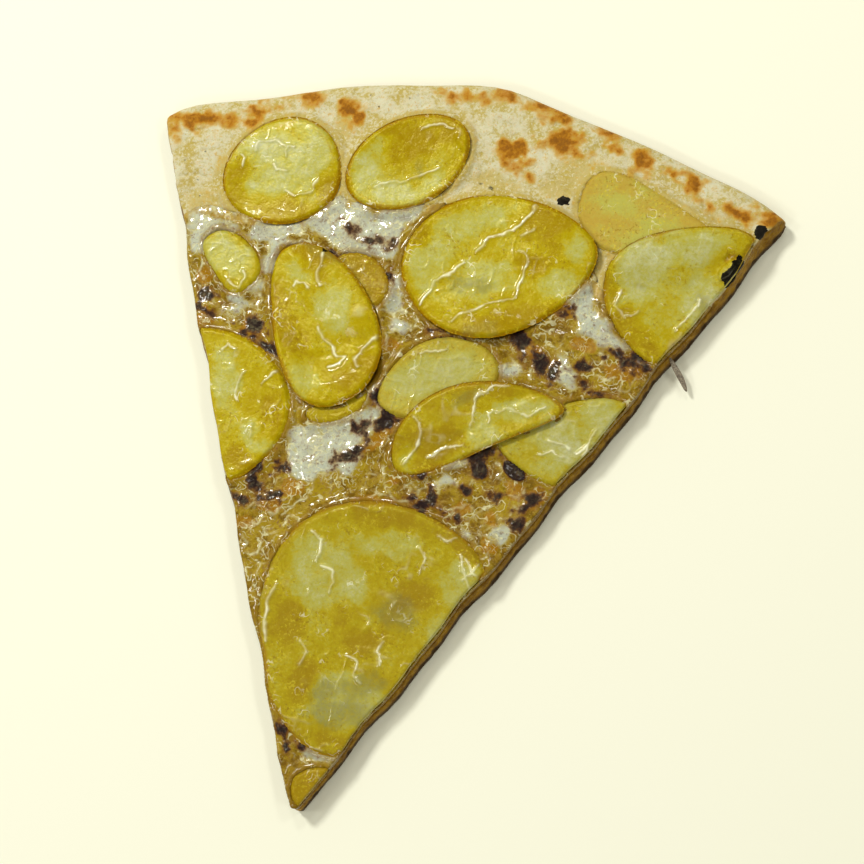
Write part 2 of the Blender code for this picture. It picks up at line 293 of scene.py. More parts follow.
BAKED_CHEESE = Marks(
    soft=7.0, ragged=6.0, crumb=12.0,
    ovals=(
        (206, 275, 10, 9), (293, 489, 13, 7), (392, 343, 10, 8), (514, 492, 12, 9, 20),
        (489, 518, 9, 7), (491, 545, 10, 8, 30), (588, 345, 16, 8, 10), (397, 480, 9, 5),
        (560, 312, 12, 16, 20), (530, 352, 12, 8), (620, 372, 24, 10, 10), (254, 330, 14, 10, 40),
        (462, 510, 12, 8), (245, 520, 14, 8), (268, 505, 14, 8), (375, 440, 18, 8, -40),
        (206, 318, 8, 12), (372, 500, 20, 6), (536, 500, 10, 12),
    ),
)
CHEESE_CHAR = Marks(
    soft=11.0, ragged=9.0, crumb=9.0,
    ovals=(
        (210, 296, 8, 6), (207, 312, 8, 7), (255, 327, 8, 6, 40), (352, 230, 9, 4, 20),
        (382, 243, 12, 5, 10), (520, 343, 6, 12, -20), (540, 362, 9, 14, -40), (567, 315, 4, 3),
        (584, 364, 4, 4), (552, 372, 7, 9, -30), (641, 354, 9, 8), (633, 366, 10, 4, 20),
        (479, 470, 8, 7), (477, 456, 5, 7), (486, 450, 8, 3, 10), (430, 499, 5, 9),
        (448, 513, 9, 3, 20), (419, 504, 11, 3, 10), (466, 492, 4, 2), (498, 496, 3, 2),
        (523, 506, 7, 4), (535, 500, 8, 6), (516, 524, 5, 4), (360, 430, 7, 8, 40),
        (352, 452, 12, 5, -40), (390, 420, 8, 12, 40), (256, 478, 5, 12, 20), (278, 468, 8, 5),
        (242, 501, 13, 5), (278, 494, 6, 4), (284, 738, 4, 9), (300, 746, 3, 3), (420, 473, 5, 4),
        (560, 295, 7, 3, -30), (265, 345, 16, 4, 30), (380, 400, 4, 8, 20), (446, 334, 8, 3, 20),
        (391, 274, 4, 7), (605, 250, 5, 4), (585, 385, 9, 3, 30), (618, 357, 6, 3, 20),
        (345, 262, 12, 3, 20),
    ),
)
GLOSSY_CHAR = Marks(
    soft=1.5, ragged=1.0, crumb=9.0,
    ovals=(
        (515, 472, 13, 8, 40), (482, 471, 6, 8),
    ),
)
PALE_FLESH = Marks(
    soft=15.0, ragged=10.0, crumb=20.0,
    ovals=(
        (262, 150, 26, 18), (310, 160, 18, 34, 10), (252, 190, 16, 12), (282, 178, 22, 20),
        (470, 222, 38, 14, -15), (430, 262, 18, 34, 20), (480, 280, 36, 18, -10),
        (560, 285, 34, 14, 15), (575, 245, 16, 14), (368, 172, 12, 22, 20), (432, 182, 22, 8, -20),
        (395, 190, 26, 12, 10), (640, 268, 26, 34, 20), (690, 250, 46, 14, -10),
        (700, 300, 20, 24, -30), (330, 310, 20, 26, -10), (300, 275, 14, 12),
        (300, 380, 22, 16, 20), (225, 375, 14, 34, -5), (260, 440, 24, 16, 30),
        (330, 590, 34, 26, 20), (385, 545, 30, 14), (345, 700, 40, 28, -15), (310, 560, 16, 24),
        (460, 585, 24, 30, 20), (440, 640, 22, 14, -40), (480, 436, 22, 14, -20),
        (515, 412, 36, 9, -12), (410, 460, 14, 18, 20), (560, 440, 30, 26), (600, 415, 20, 18, -30),
        (440, 372, 40, 18, -15), (225, 255, 22, 20), (556, 460, 26, 14, -20),
        (575, 435, 18, 12, -30), (335, 575, 24, 22, 30), (325, 600, 16, 14),
        (270, 150, 22, 14, -20), (296, 152, 16, 14, 30), (622, 206, 22, 10, 10),
        (660, 226, 24, 7, 15), (640, 188, 14, 6, 30),
    ),
)
DEEP_FLESH = Marks(
    soft=14.0, ragged=10.0, crumb=18.0,
    ovals=(
        (240, 180, 10, 26, 10), (288, 210, 34, 10, 5), (328, 190, 14, 18, 30), (262, 200, 12, 10),
        (548, 225, 26, 20, 20), (532, 265, 18, 10, -20), (505, 320, 40, 13, -12),
        (418, 232, 12, 16), (450, 130, 14, 12), (408, 146, 26, 20, -20), (392, 130, 12, 8, -20),
        (312, 252, 20, 14, 20), (278, 300, 12, 22), (350, 375, 26, 12, -20),
        (290, 330, 12, 24, -10), (270, 420, 12, 26), (240, 460, 14, 12), (430, 442, 30, 18, -10),
        (502, 394, 20, 7), (620, 320, 14, 14, 40), (640, 340, 20, 8, 30), (612, 285, 8, 24),
        (290, 620, 16, 26), (370, 640, 26, 14, -20), (400, 520, 34, 10, 10),
        (470, 545, 14, 20, -30), (300, 680, 14, 20, 20), (420, 600, 22, 16), (340, 610, 18, 12),
        (310, 775, 14, 8, -30), (340, 740, 24, 8), (675, 345, 10, 8),
    ),
)
BROWN_FLESH = Marks(
    soft=18.0, ragged=9.0, crumb=12.0,
    ovals=(
        (345, 138, 6, 4), (374, 216, 8, 5), (478, 287, 5, 4), (397, 608, 14, 9, 30),
        (255, 612, 4, 22), (412, 168, 14, 3, -15), (330, 255, 16, 5, 20), (470, 284, 20, 9),
        (350, 712, 24, 10, -20), (640, 285, 10, 7, 20), (232, 355, 4, 3), (395, 612, 24, 16, 20),
        (420, 172, 3, 3), (470, 332, 30, 4, -8), (365, 690, 22, 14, -40), (465, 398, 14, 4, -30),
        (702, 308, 5, 11, 15), (340, 712, 34, 16), (330, 690, 20, 14),
    ),
)
CRUST_TOAST = Marks(
    soft=13.0, ragged=10.0, crumb=9.0,
    ovals=(
        (208, 119, 28, 6, -4), (196, 124, 14, 4), (260, 112, 15, 6, -8), (250, 122, 9, 5),
        (306, 98, 15, 4), (348, 111, 13, 12, 10), (356, 118, 9, 8), (480, 98, 6, 4),
        (503, 96, 9, 4), (514, 149, 18, 11, -10), (516, 167, 11, 8), (527, 173, 6, 6),
        (560, 119, 11, 5, 10), (562, 143, 15, 14, 20), (576, 136, 10, 8, 30), (580, 158, 8, 6),
        (600, 127, 8, 4, 20), (614, 146, 7, 7), (644, 160, 12, 9, 30), (640, 170, 8, 6),
        (668, 172, 7, 4, 30), (692, 184, 12, 8, 30), (735, 212, 12, 5, 30), (758, 208, 5, 4),
        (784, 222, 9, 8), (778, 214, 8, 5, 30), (768, 217, 15, 7, 30), (176, 124, 5, 8),
        (700, 200, 10, 4, 40), (455, 96, 8, 4), (540, 106, 10, 4, 10),
    ),
)
CRUST_OIL = Marks(
    soft=14.0, ragged=8.0, crumb=26.0,
    ovals=(
        (204, 202, 24, 12, 10), (222, 176, 8, 22, 10), (600, 190, 46, 26, 30),
        (670, 215, 60, 16, 10), (560, 190, 30, 14, 10), (480, 180, 22, 10), (345, 130, 10, 16, 20),
        (250, 205, 24, 14), (640, 200, 40, 20, 10), (730, 222, 30, 6, 5), (510, 188, 24, 8),
    ),
)
PEPPER = Marks(
    soft=1.5, ragged=1.2, crumb=3.0,
    ovals=(
        (205, 151, 2, 2), (185, 160, 2, 1.5), (222, 152, 2, 1.5), (219, 165, 1.5, 1.5),
        (379, 107, 2.5, 2), (410, 98, 2, 2), (371, 95, 2, 1.5), (480, 183, 3, 2.5),
        (492, 189, 5, 3.5, 20), (655, 235, 4, 3), (630, 186, 1.5, 1.5), (648, 180, 1.5, 1.5),
        (665, 200, 2, 1.5), (690, 215, 1.5, 1.5), (640, 205, 1.5, 1.5), (200, 196, 2, 1.5),
        (206, 210, 2, 2), (198, 180, 1.5, 1.5), (522, 128, 1.5, 1), (330, 142, 2.5, 2),
    ),
)
BLACK_FLAKES = Marks(
    soft=1.0, ragged=3.0, crumb=5.0,
    ovals=(
        (736, 268, 7, 11, 15), (731, 275, 10, 7, -10), (731, 283, 6, 9, 10), (760, 232, 6, 7),
        (762, 237, 6, 3, 20), (564, 202, 6, 4, 10), (569, 205, 3, 2, 30), (326, 248, 4, 3),
    ),
)


def spell_out(groups: dict) -> tuple:
    """Return the height, half width and points of each line of all groups."""
    return tuple((*sizes, *line) for sizes, lines in groups.items() for line in lines)


# Lines that the photograph shows: their height in millimetres and half width in pixels, then
# the points that each line follows. The folds on the slices also carry a painted highlight
# along their crests
SKIN_FOLDS = spell_out({
    (0.26, 2.6): (
        ((537, 207), (525, 219), (513, 231), (490, 237), (484, 246), (477, 251)), ((323, 254),
        (319, 268), (318, 279), (321, 285)),
    ),
    (0.22, 2.4): (
        ((464, 263), (451, 272), (435, 282), (429, 293), (420, 304)), ((518, 251), (526, 253),
        (529, 261), (523, 273), (520, 283), (518, 290), (513, 299), (494, 302), (473, 311),
        (459, 314), (453, 320)), ((322, 566), (332, 572), (335, 583), (328, 592)), ((465, 560),
        (472, 572), (480, 578)), ((596, 430), (591, 441), (582, 450), (577, 453)),
    ),
    (0.2, 2.4): (
        ((522, 236), (534, 229)), ((261, 383), (281, 367)), ((548, 440), (558, 444), (570, 448)),
        ((418, 548), (425, 560), (420, 572)), ((286, 190), (298, 196), (312, 190), (318, 180)),
        ((380, 184), (400, 182), (420, 176), (440, 168)), ((700, 300), (690, 316), (676, 330)),
        ((620, 290), (616, 305), (624, 318)), ((283, 738), (300, 748), (322, 750)), ((462, 580),
        (470, 574), (478, 566)), ((246, 430), (253, 424), (250, 436)), ((222, 350), (228, 344),
        (236, 348)), ((346, 655), (356, 662), (352, 676), (360, 684)), ((384, 640), (378, 652),
        (380, 664)), ((300, 640), (306, 652), (300, 664)),
    ),
    (0.24, 2.6): (
        ((414, 415), (420, 423), (421, 435), (415, 451), (402, 464)), ((508, 386), (489, 386),
        (477, 397), (472, 414), (472, 425)), ((237, 399), (238, 382), (243, 371)), ((595, 433),
        (588, 446), (583, 455)), ((313, 532), (322, 540), (320, 552), (315, 560)), ((460, 556),
        (461, 572), (468, 584), (476, 598)),
    ),
    (0.2, 2.2): (
        ((487, 421), (490, 414), (506, 407), (513, 409), (521, 416), (532, 415), (544, 407)),
        ((293, 286), (296, 282), (304, 282), (307, 288)), ((285, 157), (284, 150), (287, 147),
        (292, 148)), ((275, 163), (278, 169), (286, 171)), ((243, 165), (246, 159), (241, 155)),
        ((229, 279), (238, 289), (245, 279), (244, 271)), ((625, 316), (633, 316), (638, 311)),
        ((422, 353), (430, 350), (439, 351), (446, 348)), ((440, 536), (447, 542), (456, 538)),
    ),
    (0.18, 2.4): (
        ((428, 457), (441, 450), (461, 446)), ((254, 150), (262, 142), (275, 140), (284, 146)),
        ((422, 130), (436, 124), (452, 128)),
    ),
    (0.26, 3.0): (((377, 336), (354, 357), (357, 366)),),
    (0.24, 2.4): (
        ((318, 329), (323, 339), (333, 346), (336, 356), (346, 357), (339, 364), (329, 367)),
    ),
    (0.24, 2.8): (((275, 585), (268, 600), (264, 618), (266, 640)),),
    (0.22, 2.6): (((455, 615), (440, 640), (415, 668), (395, 690)),),
    (0.18, 2.2): (((538, 455), (552, 452), (562, 456)),),
})
# Ridges on the cheese, raised a little, with a painted highlight along each of them
GLINT_RIDGE_HEIGHT = 0.3
CHEESE_GLINT_RIDGES = spell_out({
    (GLINT_RIDGE_HEIGHT, 2.2): (
        ((250, 522), (257, 525), (264, 517)), ((370, 497), (379, 492), (388, 498)), ((268, 510),
        (272, 515), (281, 508), (293, 507), (301, 499), (308, 496)), ((247, 554), (257, 552),
        (263, 542)), ((310, 492), (313, 481), (306, 478)), ((313, 456), (314, 467), (319, 474)),
        ((325, 436), (321, 444), (316, 452)), ((206, 204), (212, 209), (219, 216)), ((375, 304),
        (380, 310), (392, 313), (404, 311), (412, 316), (419, 322)), ((379, 326), (386, 334),
        (388, 350)), ((386, 334), (394, 331)), ((499, 377), (502, 369), (510, 364), (519, 367)),
        ((512, 358), (516, 364)), ((531, 379), (532, 369), (541, 361)), ((510, 516), (514, 506),
        (522, 510), (520, 518)), ((443, 511), (454, 508), (464, 506)), ((540, 338), (546, 331),
        (552, 330)), ((498, 462), (504, 470), (499, 478)), ((596, 376), (604, 382), (614, 379)),
        ((262, 528), (268, 533), (276, 530)), ((243, 536), (248, 543), (245, 548)), ((470, 506),
        (478, 512), (486, 508)), ((240, 216), (248, 222), (258, 219), (262, 210)), ((205, 262),
        (200, 270), (206, 278)), ((262, 282), (258, 292), (264, 300)), ((330, 200), (338, 206),
        (350, 204)),
    ),
    (GLINT_RIDGE_HEIGHT, 2.4): (((383, 466), (384, 482), (390, 495), (397, 503), (410, 501)),),
    (GLINT_RIDGE_HEIGHT, 2.0): (
        ((247, 508), (254, 503), (262, 507)), ((284, 524), (290, 517), (299, 519)), ((240, 470),
        (247, 466), (251, 459)), ((404, 488), (412, 484), (418, 489)), ((432, 482), (440, 487),
        (437, 495)), ((548, 345), (556, 349), (563, 344)), ((600, 352), (607, 357), (603, 364)),
        ((392, 362), (386, 368), (392, 375)), ((372, 285), (368, 293), (376, 298)), ((255, 560),
        (262, 566), (258, 574)), ((488, 530), (495, 526), (500, 532)), ((560, 378), (568, 374),
        (575, 379)),
    ),
})
CRUST_CREASES = spell_out({
    (-0.5, 2.0): (((170, 128), (186, 132), (200, 130), (214, 124)), ((186, 159), (188, 160)),),
    (-0.6, 2.5): (((203, 150), (206, 151)),),
    (-0.4, 2.0): (((372, 100), (378, 104), (380, 109)),),
    (-0.4, 2.4): (
        ((300, 116), (312, 112), (322, 114)), ((500, 118), (512, 128), (516, 138)), ((740, 222),
        (752, 220), (764, 224)),
    ),
    (-0.4, 2.2): (((536, 120), (552, 126), (566, 124)), ((180, 176), (196, 174), (206, 178)),),
    (-0.45, 2.4): (((626, 176), (640, 184), (656, 184)),),
    (-0.5, 3.0): (((196, 121), (212, 124), (228, 130)),),
    (-0.6, 3.5): (((698, 190), (706, 204), (718, 219)),),
    (-0.3, 4.0): (((420, 96), (450, 108), (478, 128)), ((590, 150), (604, 172), (596, 196)),),
    (-0.35, 3.5): (((180, 140), (198, 146), (214, 140)),),
})
FOLDED_EDGE = (0.7, 5.0, (458, 138), (466, 150), (468, 164), (462, 180), (440, 192))


def fold_height(pixels: np.ndarray, folds: tuple, width: float = 0.75) -> np.ndarray:
    """Work out how high folds stand at places in the photograph.

    Args:
        pixels: The places, one a row.
        folds: Height, half width and the points of each fold.
        width: The share of the half width that is used.

    Returns:
        The height of each place, in millimetres.
    """
    total = np.zeros(len(pixels))
    for height, half, *line in folds:
        share = height * np.exp(-(line_distance(pixels, tuple(line)) / (width * half)) ** 2)
        total = np.where(np.abs(share) > np.abs(total), share, total)
    return total


class Signal:
    """A value inside a material. Sums written with it add Math nodes."""

    def __init__(self, recipe: "Recipe", socket: bpy.types.NodeSocket) -> None:
        """Wrap a socket of a recipe."""
        self.recipe = recipe
        self.socket = socket

    def _with(self, operation: str, first: object, second: object) -> "Signal":
        """Return the result of a Math node."""
        node = self.recipe.add("ShaderNodeMath", {"operation": operation}, {0: first, 1: second})
        return Signal(self.recipe, node.outputs[0])

    def __add__(self, other: object) -> "Signal":
        """Return self + other."""
        return self._with("ADD", self, other)

    def __radd__(self, other: object) -> "Signal":
        """Return other + self."""
        return self._with("ADD", other, self)

    def __sub__(self, other: object) -> "Signal":
        """Return self - other."""
        return self._with("SUBTRACT", self, other)

    def __rsub__(self, other: object) -> "Signal":
        """Return other - self."""
        return self._with("SUBTRACT", other, self)

    def __mul__(self, other: object) -> "Signal":
        """Return self * other."""
        return self._with("MULTIPLY", self, other)

    def __rmul__(self, other: object) -> "Signal":
        """Return other * self."""
        return self._with("MULTIPLY", other, self)

    def step(self, low: float, high: float) -> "Signal":
        """Rise smoothly from 0 to 1.

        Args:
            low: Where the rise starts.
            high: Where it ends.

        Returns:
            The share that has risen.
        """
        sockets = {"Value": self, "From Min": low, "From Max": high}
        node = self.recipe.add("ShaderNodeMapRange", {"interpolation_type": "SMOOTHSTEP"}, sockets)
        return Signal(self.recipe, node.outputs["Result"])


class Recipe:
    """A material and the nodes that it is made of."""

    SPREAD = 2.8
    CURL_WIDTH = (0.011, 0.001)
    CURL_BREAKS = (0.08, 0.26)

    def __init__(self, name: str) -> None:
        """Start a material with a plain shader.

        Args:
            name: The material's name.
        """
        self.material = bpy.data.materials.new(name)
        self.material.use_nodes = True
        self.tree = self.material.node_tree
        self.shader = self.tree.nodes["Principled BSDF"]
        self.place = self.add("ShaderNodeTexCoord").outputs["Object"]
        self.colour: object = None

    def add(self, kind: str, settings: dict | None = None,
            sockets: dict | None = None) -> bpy.types.Node:
        """Add a node.

        Args:
            kind: The node's type.
            settings: What is set on the node, before its sockets.
            sockets: The value or link of each named socket.

        Returns:
            The new node.
        """
        node = self.tree.nodes.new(kind)
        for key, value in (settings or {}).items():
            setattr(node, key, value)
        for key, value in (sockets or {}).items():
            self.plug(node.inputs[key], value)
        return node

    def plug(self, socket: bpy.types.NodeSocket, value: object) -> None:
        """Give a socket its value.

        Args:
            socket: The socket.
            value: A signal, another socket or a plain value.
        """
        if isinstance(value, Signal):
            value = value.socket
        if isinstance(value, bpy.types.NodeSocket):
            self.tree.links.new(value, socket)
        else:
            socket.default_value = value

    def mark(self, name: str) -> Signal:
        """Return one of the piece's own marks."""
        node = self.add("ShaderNodeAttribute", {"attribute_name": name})
        return Signal(self, node.outputs["Fac"])

    def noise(self, size: float, detail: float = 3.0, rough: float = 0.55,
              stretch: tuple = (1, 1, 1)) -> Signal:
        """Return noise between about 0 and 1.

        Args:
            size: The length of its waves, in millimetres.
            detail: How many finer layers it has.
            rough: How strong they are.
            stretch: How much it is squeezed along each axis.

        Returns:
            The noise's value.
        """
        mapped = self.add("ShaderNodeMapping", None, {"Vector": self.place, "Scale": stretch})
        sockets = {"Vector": mapped.outputs[0], "Scale": 1 / (size * MM),
                   "Detail": detail, "Roughness": rough}
        node = self.add("ShaderNodeTexNoise", {"noise_dimensions": "3D"}, sockets)
        return Signal(self, node.outputs[0])

    def uneven(self, size: float, detail: float = 4.0, rough: float = 0.6) -> Signal:
        """Return noise from about -0.7 to 0.7, with waves of a size in millimetres."""
        return (self.noise(size, detail, rough) - 0.5) * self.SPREAD

    def glint_curls(self, size: float, shift: float) -> Signal:
        """Return broken curly lines of painted highlight, standing for light on wet wrinkles, from
        waves of a size.
        """
        line, part = self.uneven(size, 1, 0.4), self.uneven(size * shift, 1, 0.4)
        return (line * line).step(*self.CURL_WIDTH) * part.step(*self.CURL_BREAKS)

    def mix(self, share: object, first: object, second: object) -> bpy.types.NodeSocket:
        """Mix two colours.

        Args:
            share: How much of the second there is.
            first: A colour or its socket.
            second: A colour or its socket.

        Returns:
            The mixed colour.
        """
        colours = [(*c, 1.0) if isinstance(c, tuple) else c for c in (first, second)]
        sockets = {0: share, 6: colours[0], 7: colours[1]}
        return self.add("ShaderNodeMix", {"data_type": "RGBA"}, sockets).outputs[2]

    def paint(self, share: object, colour: object) -> None:
        """Mix a share of a colour over the colour so far."""
        self.colour = self.mix(share, self.colour, colour)

    def finish(self, roughness: object, height: Signal, depth: float, **constants: object) -> None:
        """Feed the shader with the colour so far.

        Args:
            roughness: The roughness.
            height: The fine relief, from 0 to 1.
            depth: How deep the fine relief is, in millimetres.
            constants: Values that are the same all over, by the shader's socket names.
        """
        sockets = {"Height": height, "Distance": depth * MM, "Strength": 1.0}
        bump = self.add("ShaderNodeBump", None, sockets)
        self.plug(self.shader.inputs["Base Color"], self.colour)
        self.plug(self.shader.inputs["Roughness"], roughness)
        self.plug(self.shader.inputs["Normal"], bump.outputs[0])
        for name, value in constants.items():
            self.shader.inputs[name.replace("_", " ")].default_value = value


@dataclass(frozen=True)
class PotatoFinish:
    """Cooked potato flesh under a coat of oil, with painted highlights along its folds and in
    broken curly lines.
    """

    deep: tuple = (0.37, 0.24, 0.0001)
    yellow: tuple = (0.48, 0.37, 0.001)
    pale: tuple = (0.49, 0.455, 0.08)
    starch: tuple = (0.60, 0.61, 0.34)
    dry: tuple = (0.51, 0.345, 0.05)
    amber: tuple = (0.38, 0.185, 0.001)
    brown: tuple = (0.17, 0.145, 0.05)
    # near-white colour of the painted highlights on the slices
    painted_highlight: tuple = (0.97, 0.95, 0.64)
    sand: tuple = (0.68, 0.55, 0.025)
    speck: tuple = (0.27, 0.15, 0.002)
    char: tuple = (0.004, 0.003, 0.003)

    def make(self) -> bpy.types.Material:
        """Make the material.

        Returns:
            The material, ready for its pieces.
        """
        r = Recipe("cooked_potato")
        wide, mottle, grain = r.uneven(7.0, 3, 0.55), r.uneven(2.2, 4, 0.55), r.uneven(0.8, 3)
        tone = r.mark("tone") + wide * 0.3 + mottle * 0.26 + grain * 0.3
        r.colour = r.mix(tone.step(-0.35, 0.6), self.deep, self.yellow)
        r.paint(tone.step(0.35, 0.95), self.pale)
        r.paint(tone.step(0.8, 1.5) * 0.9, self.starch)
        r.paint(r.mark("dry") * 0.9, r.mix(tone.step(0.1, 0.9), self.dry, self.pale))
        edge = r.mark("rim") + mottle * 0.3 + wide * 0.1
        r.paint(edge.step(0.2, 1.0) * 0.85, self.amber)
        sandy = (wide * 0.8 + r.mark("rim") * 0.5 + 0.35).step(0.1, 0.7)
        bright = (r.uneven(0.85, 2) + mottle * 0.3).step(0.2, 0.42)
        dark = (r.uneven(0.95, 2) - mottle * 0.3).step(0.2, 0.5)
        calm = 1 - tone.step(0.5, 1.1) * 0.7
        r.paint((sandy * 0.5 + 0.15) * calm * bright, self.sand)
        r.paint((sandy * 0.5 + 0.15) * calm * dark, self.speck)
        # painted highlight in broken curly lines, more of them near the rim
        glint_curls = r.glint_curls(2.4, 1.9) * (wide * 0.9 + r.mark("rim") * 0.4 + 0.1).step(0.1, 0.6)
        r.paint(glint_curls * 0.55, self.painted_highlight)
        r.paint(r.mark("shade"), self.brown)
        brown = r.mark("brown") + grain * 0.3 + mottle * 0.3
        r.paint(brown.step(0.1, 1.6) * 0.65, self.brown)
        # painted highlight along the crests of the folds
        r.paint(r.mark("fold") * 0.9, self.painted_highlight)
        char = r.mark("char") + grain * 0.15
        r.paint(char.step(0.4, 0.6), self.char)
        r.plug(r.shader.inputs["Coat Weight"], 0.85 * r.mark("gloss_and_painted_glint"))
        r.finish(0.24 + mottle * 0.1 + r.mark("dry") * 0.3, mottle + grain * 0.6, 0.06,
                 Specular_IOR_Level=0.22, Specular_Tint=(1.0, 0.9, 0.3, 1.0),
                 Subsurface_Weight=0.12, Subsurface_Radius=(1.0, 0.6, 0.1), Subsurface_Scale=0.001,
                 Coat_Roughness=0.04, Coat_IOR=1.4)
        return r.material


@dataclass(frozen=True)
class CheeseFinish:
    """Melted cheese: oily yellow, with white curds, baked patches and char, and painted highlights
    in curly lines and along its ridges.
    """

    oily: tuple = (0.17, 0.09, 0.0005)
    straw: tuple = (0.41, 0.29, 0.004)
    white: tuple = (0.60, 0.67, 0.52)
    hem: tuple = (0.24, 0.135, 0.001)
    side: tuple = (0.20, 0.10, 0.002)
    cream: tuple = (0.44, 0.35, 0.08)
    skirt: tuple = (0.52, 0.33, 0.04)
    pale_skirt: tuple = (0.60, 0.48, 0.15)
    baked: tuple = (0.38, 0.175, 0.0002)
    singed: tuple = (0.22, 0.085, 0.010)
    dark: tuple = (0.07, 0.025, 0.014)
    char: tuple = (0.018, 0.008, 0.010)
    sand: tuple = (0.56, 0.43, 0.06)
    # near-white colour of the painted highlights on the cheese
    gloss_and_painted_glint: tuple = (0.85, 0.83, 0.46)

    def make(self) -> bpy.types.Material:
        """Make the material.

        Returns:
            The material, ready for its pieces.
        """
        r = Recipe("melted_cheese")
        wide, mottle, grain = r.uneven(6.0, 3, 0.5), r.uneven(2.0, 5, 0.6), r.uneven(0.8, 3)
        straw = (wide * 0.8 + mottle * 0.9 + grain * 0.4 + 0.55).step(0.1, 0.9)
        r.colour = r.mix(straw, self.oily, self.straw)
        baked = r.mark("baked") + mottle * 0.5 + wide * 0.3 + grain * 0.3
        r.paint(baked.step(0.25, 1.0) * 0.9, self.baked)
        bright = (r.uneven(0.9, 2) + mottle * 0.3).step(0.15, 0.4)
        r.paint(bright * 0.4, self.sand)
        white = r.mark("white") + mottle * 0.5 + wide * 0.2 + grain * 0.4
        r.paint(white.step(0.1, 0.6), self.cream)
        r.paint(white.step(0.4, 1.15), self.white)
        speck = (r.uneven(1.0, 2) + mottle * 0.3).step(0.38, 0.58)
        r.paint(speck * 0.4, self.dark)
        fringe = r.mark("fringe") + mottle * 0.5 + wide * 0.3 + grain * 0.2
        pale = (mottle * 0.6 + wide * 0.4 + grain * 0.6 + 0.5).step(0, 1)
        skirt = r.mix(pale, self.skirt, self.pale_skirt)
        r.paint(fringe.step(0.2, 0.9), skirt)
        r.paint(r.mark("hem") * 0.6, self.hem)
        # painted highlights: broken curly lines, and lines along the cheese's ridges
        r.paint(r.glint_curls(2.8, 1.7) * 0.65, self.gloss_and_painted_glint)
        r.paint(r.glint_curls(1.6, 2.3) * 0.4, self.gloss_and_painted_glint)
        r.paint(r.mark("gloss_and_painted_glint") * 0.85, self.gloss_and_painted_glint)
        char = r.mark("char") * 1.2 + mottle * 0.5 + grain * 0.4
        r.paint(char.step(-0.3, 0.6) * 0.8, self.singed)
        r.paint(char.step(0.25, 0.8) * 0.9, self.dark)
        r.paint(char.step(0.55, 1.2), self.char)
        side = r.mark("side")
        r.paint(side * 0.9, self.side)
        coat = (0.45 - fringe.step(0.2, 0.9) * 0.35) * (1 - side) * (1 - char.step(0.3, 0.8) * 0.6)
        r.plug(r.shader.inputs["Coat Weight"], coat)
        r.finish(0.26 + mottle * 0.12 + fringe.step(0.2, 0.8) * 0.3, mottle + grain * 0.6, 0.09,
                 Specular_IOR_Level=0.2, Specular_Tint=(1.0, 0.9, 0.4, 1.0),
                 Subsurface_Weight=0.12, Subsurface_Radius=(1.0, 0.8, 0.4), Subsurface_Scale=0.001,
                 Coat_Roughness=0.06)
        return r.material


@dataclass(frozen=True)
class DoughFinish:
    """Baked dough: floury cream on top, toasted in patches, with an oily crumb where it is cut."""

    cream: tuple = (0.52, 0.40, 0.10)
    flour: tuple = (0.72, 0.71, 0.50)
    oily: tuple = (0.50, 0.37, 0.05)
    dust: tuple = (0.78, 0.74, 0.50)
    gold: tuple = (0.60, 0.36, 0.04)
    toast: tuple = (0.48, 0.175, 0.0005)
    scorch: tuple = (0.12, 0.04, 0.008)
    crumb: tuple = (0.19, 0.085, 0.002)
    crust_fat: tuple = (0.36, 0.19, 0.006)
    base: tuple = (0.045, 0.020, 0.005)
    char: tuple = (0.006, 0.005, 0.005)

    def make(self) -> bpy.types.Material:
        """Make the material.

        Returns:
            The material, ready for its pieces.
        """
        r = Recipe("baked_dough")
        wide, mottle, grain = r.uneven(7.0, 3, 0.55), r.uneven(2.4, 5, 0.6), r.uneven(0.8, 3)
        flour = (wide + mottle * 0.7 + grain * 0.6 + 0.5).step(0.0, 1.0)
        r.colour = r.mix(flour, self.cream, self.flour)
        oily = r.mark("oily") + wide * 0.35 + mottle * 0.35 + grain * 0.2
        r.paint(oily.step(0.2, 1.1) * 0.8, self.oily)
        freckle = (r.uneven(1.2, 2) + wide * 0.5 + grain * 0.2).step(0.3, 0.7)
        r.paint(freckle * 0.5, self.gold)
        dust = (r.uneven(1.0, 2) - wide * 0.5).step(0.1, 0.5)
        r.paint(dust * 0.55, self.dust)
        toast = r.mark("toast") * 1.35 + mottle * 0.5 + grain * 0.25
        r.paint((toast + wide * 0.3).step(-0.1, 0.7) * 0.8, self.gold)
        r.paint(toast.step(0.3, 1.4) * 0.95, self.toast)
        r.paint(toast.step(1.0, 1.6) * 0.6, self.scorch)
        crumb = r.mark("crumb")
        r.paint(crumb, r.mix((mottle + 0.5).step(0.1, 0.9), self.crumb, self.crust_fat))
        base = r.mark("base") + mottle * 0.3
        r.paint(base.step(0.15, 0.8), self.base)
        belly = r.mix((wide + mottle * 0.5 + 0.5).step(0.3, 0.9), self.toast, self.cream)
        belly = r.mix((r.uneven(4.0, 3) + grain * 0.3).step(0.2, 0.6) * 0.8, belly, self.scorch)
        r.paint(r.mark("under"), belly)
        char = r.mark("char") + grain * 0.15
        r.paint(char.step(0.4, 0.6), self.char)
        gloss = 0.7 - oily.step(0.3, 0.9) * 0.28 - crumb * 0.15
        r.finish(gloss, mottle + grain * 0.7, 0.14,
                 Specular_IOR_Level=0.2, Specular_Tint=(1.0, 0.9, 0.5, 1.0),
                 Subsurface_Weight=0.1, Subsurface_Radius=(1.0, 0.7, 0.3), Subsurface_Scale=0.001)
        return r.material


@dataclass(frozen=True)
class HerbFinish:
    """A dry grey-brown herb needle."""

    dry: tuple = (0.32, 0.27, 0.18)
    dark: tuple = (0.12, 0.09, 0.055)

    def make(self) -> bpy.types.Material:
        """Make the material.

        Returns:
            The material, ready for its pieces.
        """
        r = Recipe("dry_herb")
        fibre = r.noise(0.5, 3, 0.6, (1, 1, 0.3))
        r.colour = r.mix(fibre.step(0.35, 0.65), self.dark, self.dry)
        r.finish(0.65, fibre, 0.1)
        return r.material


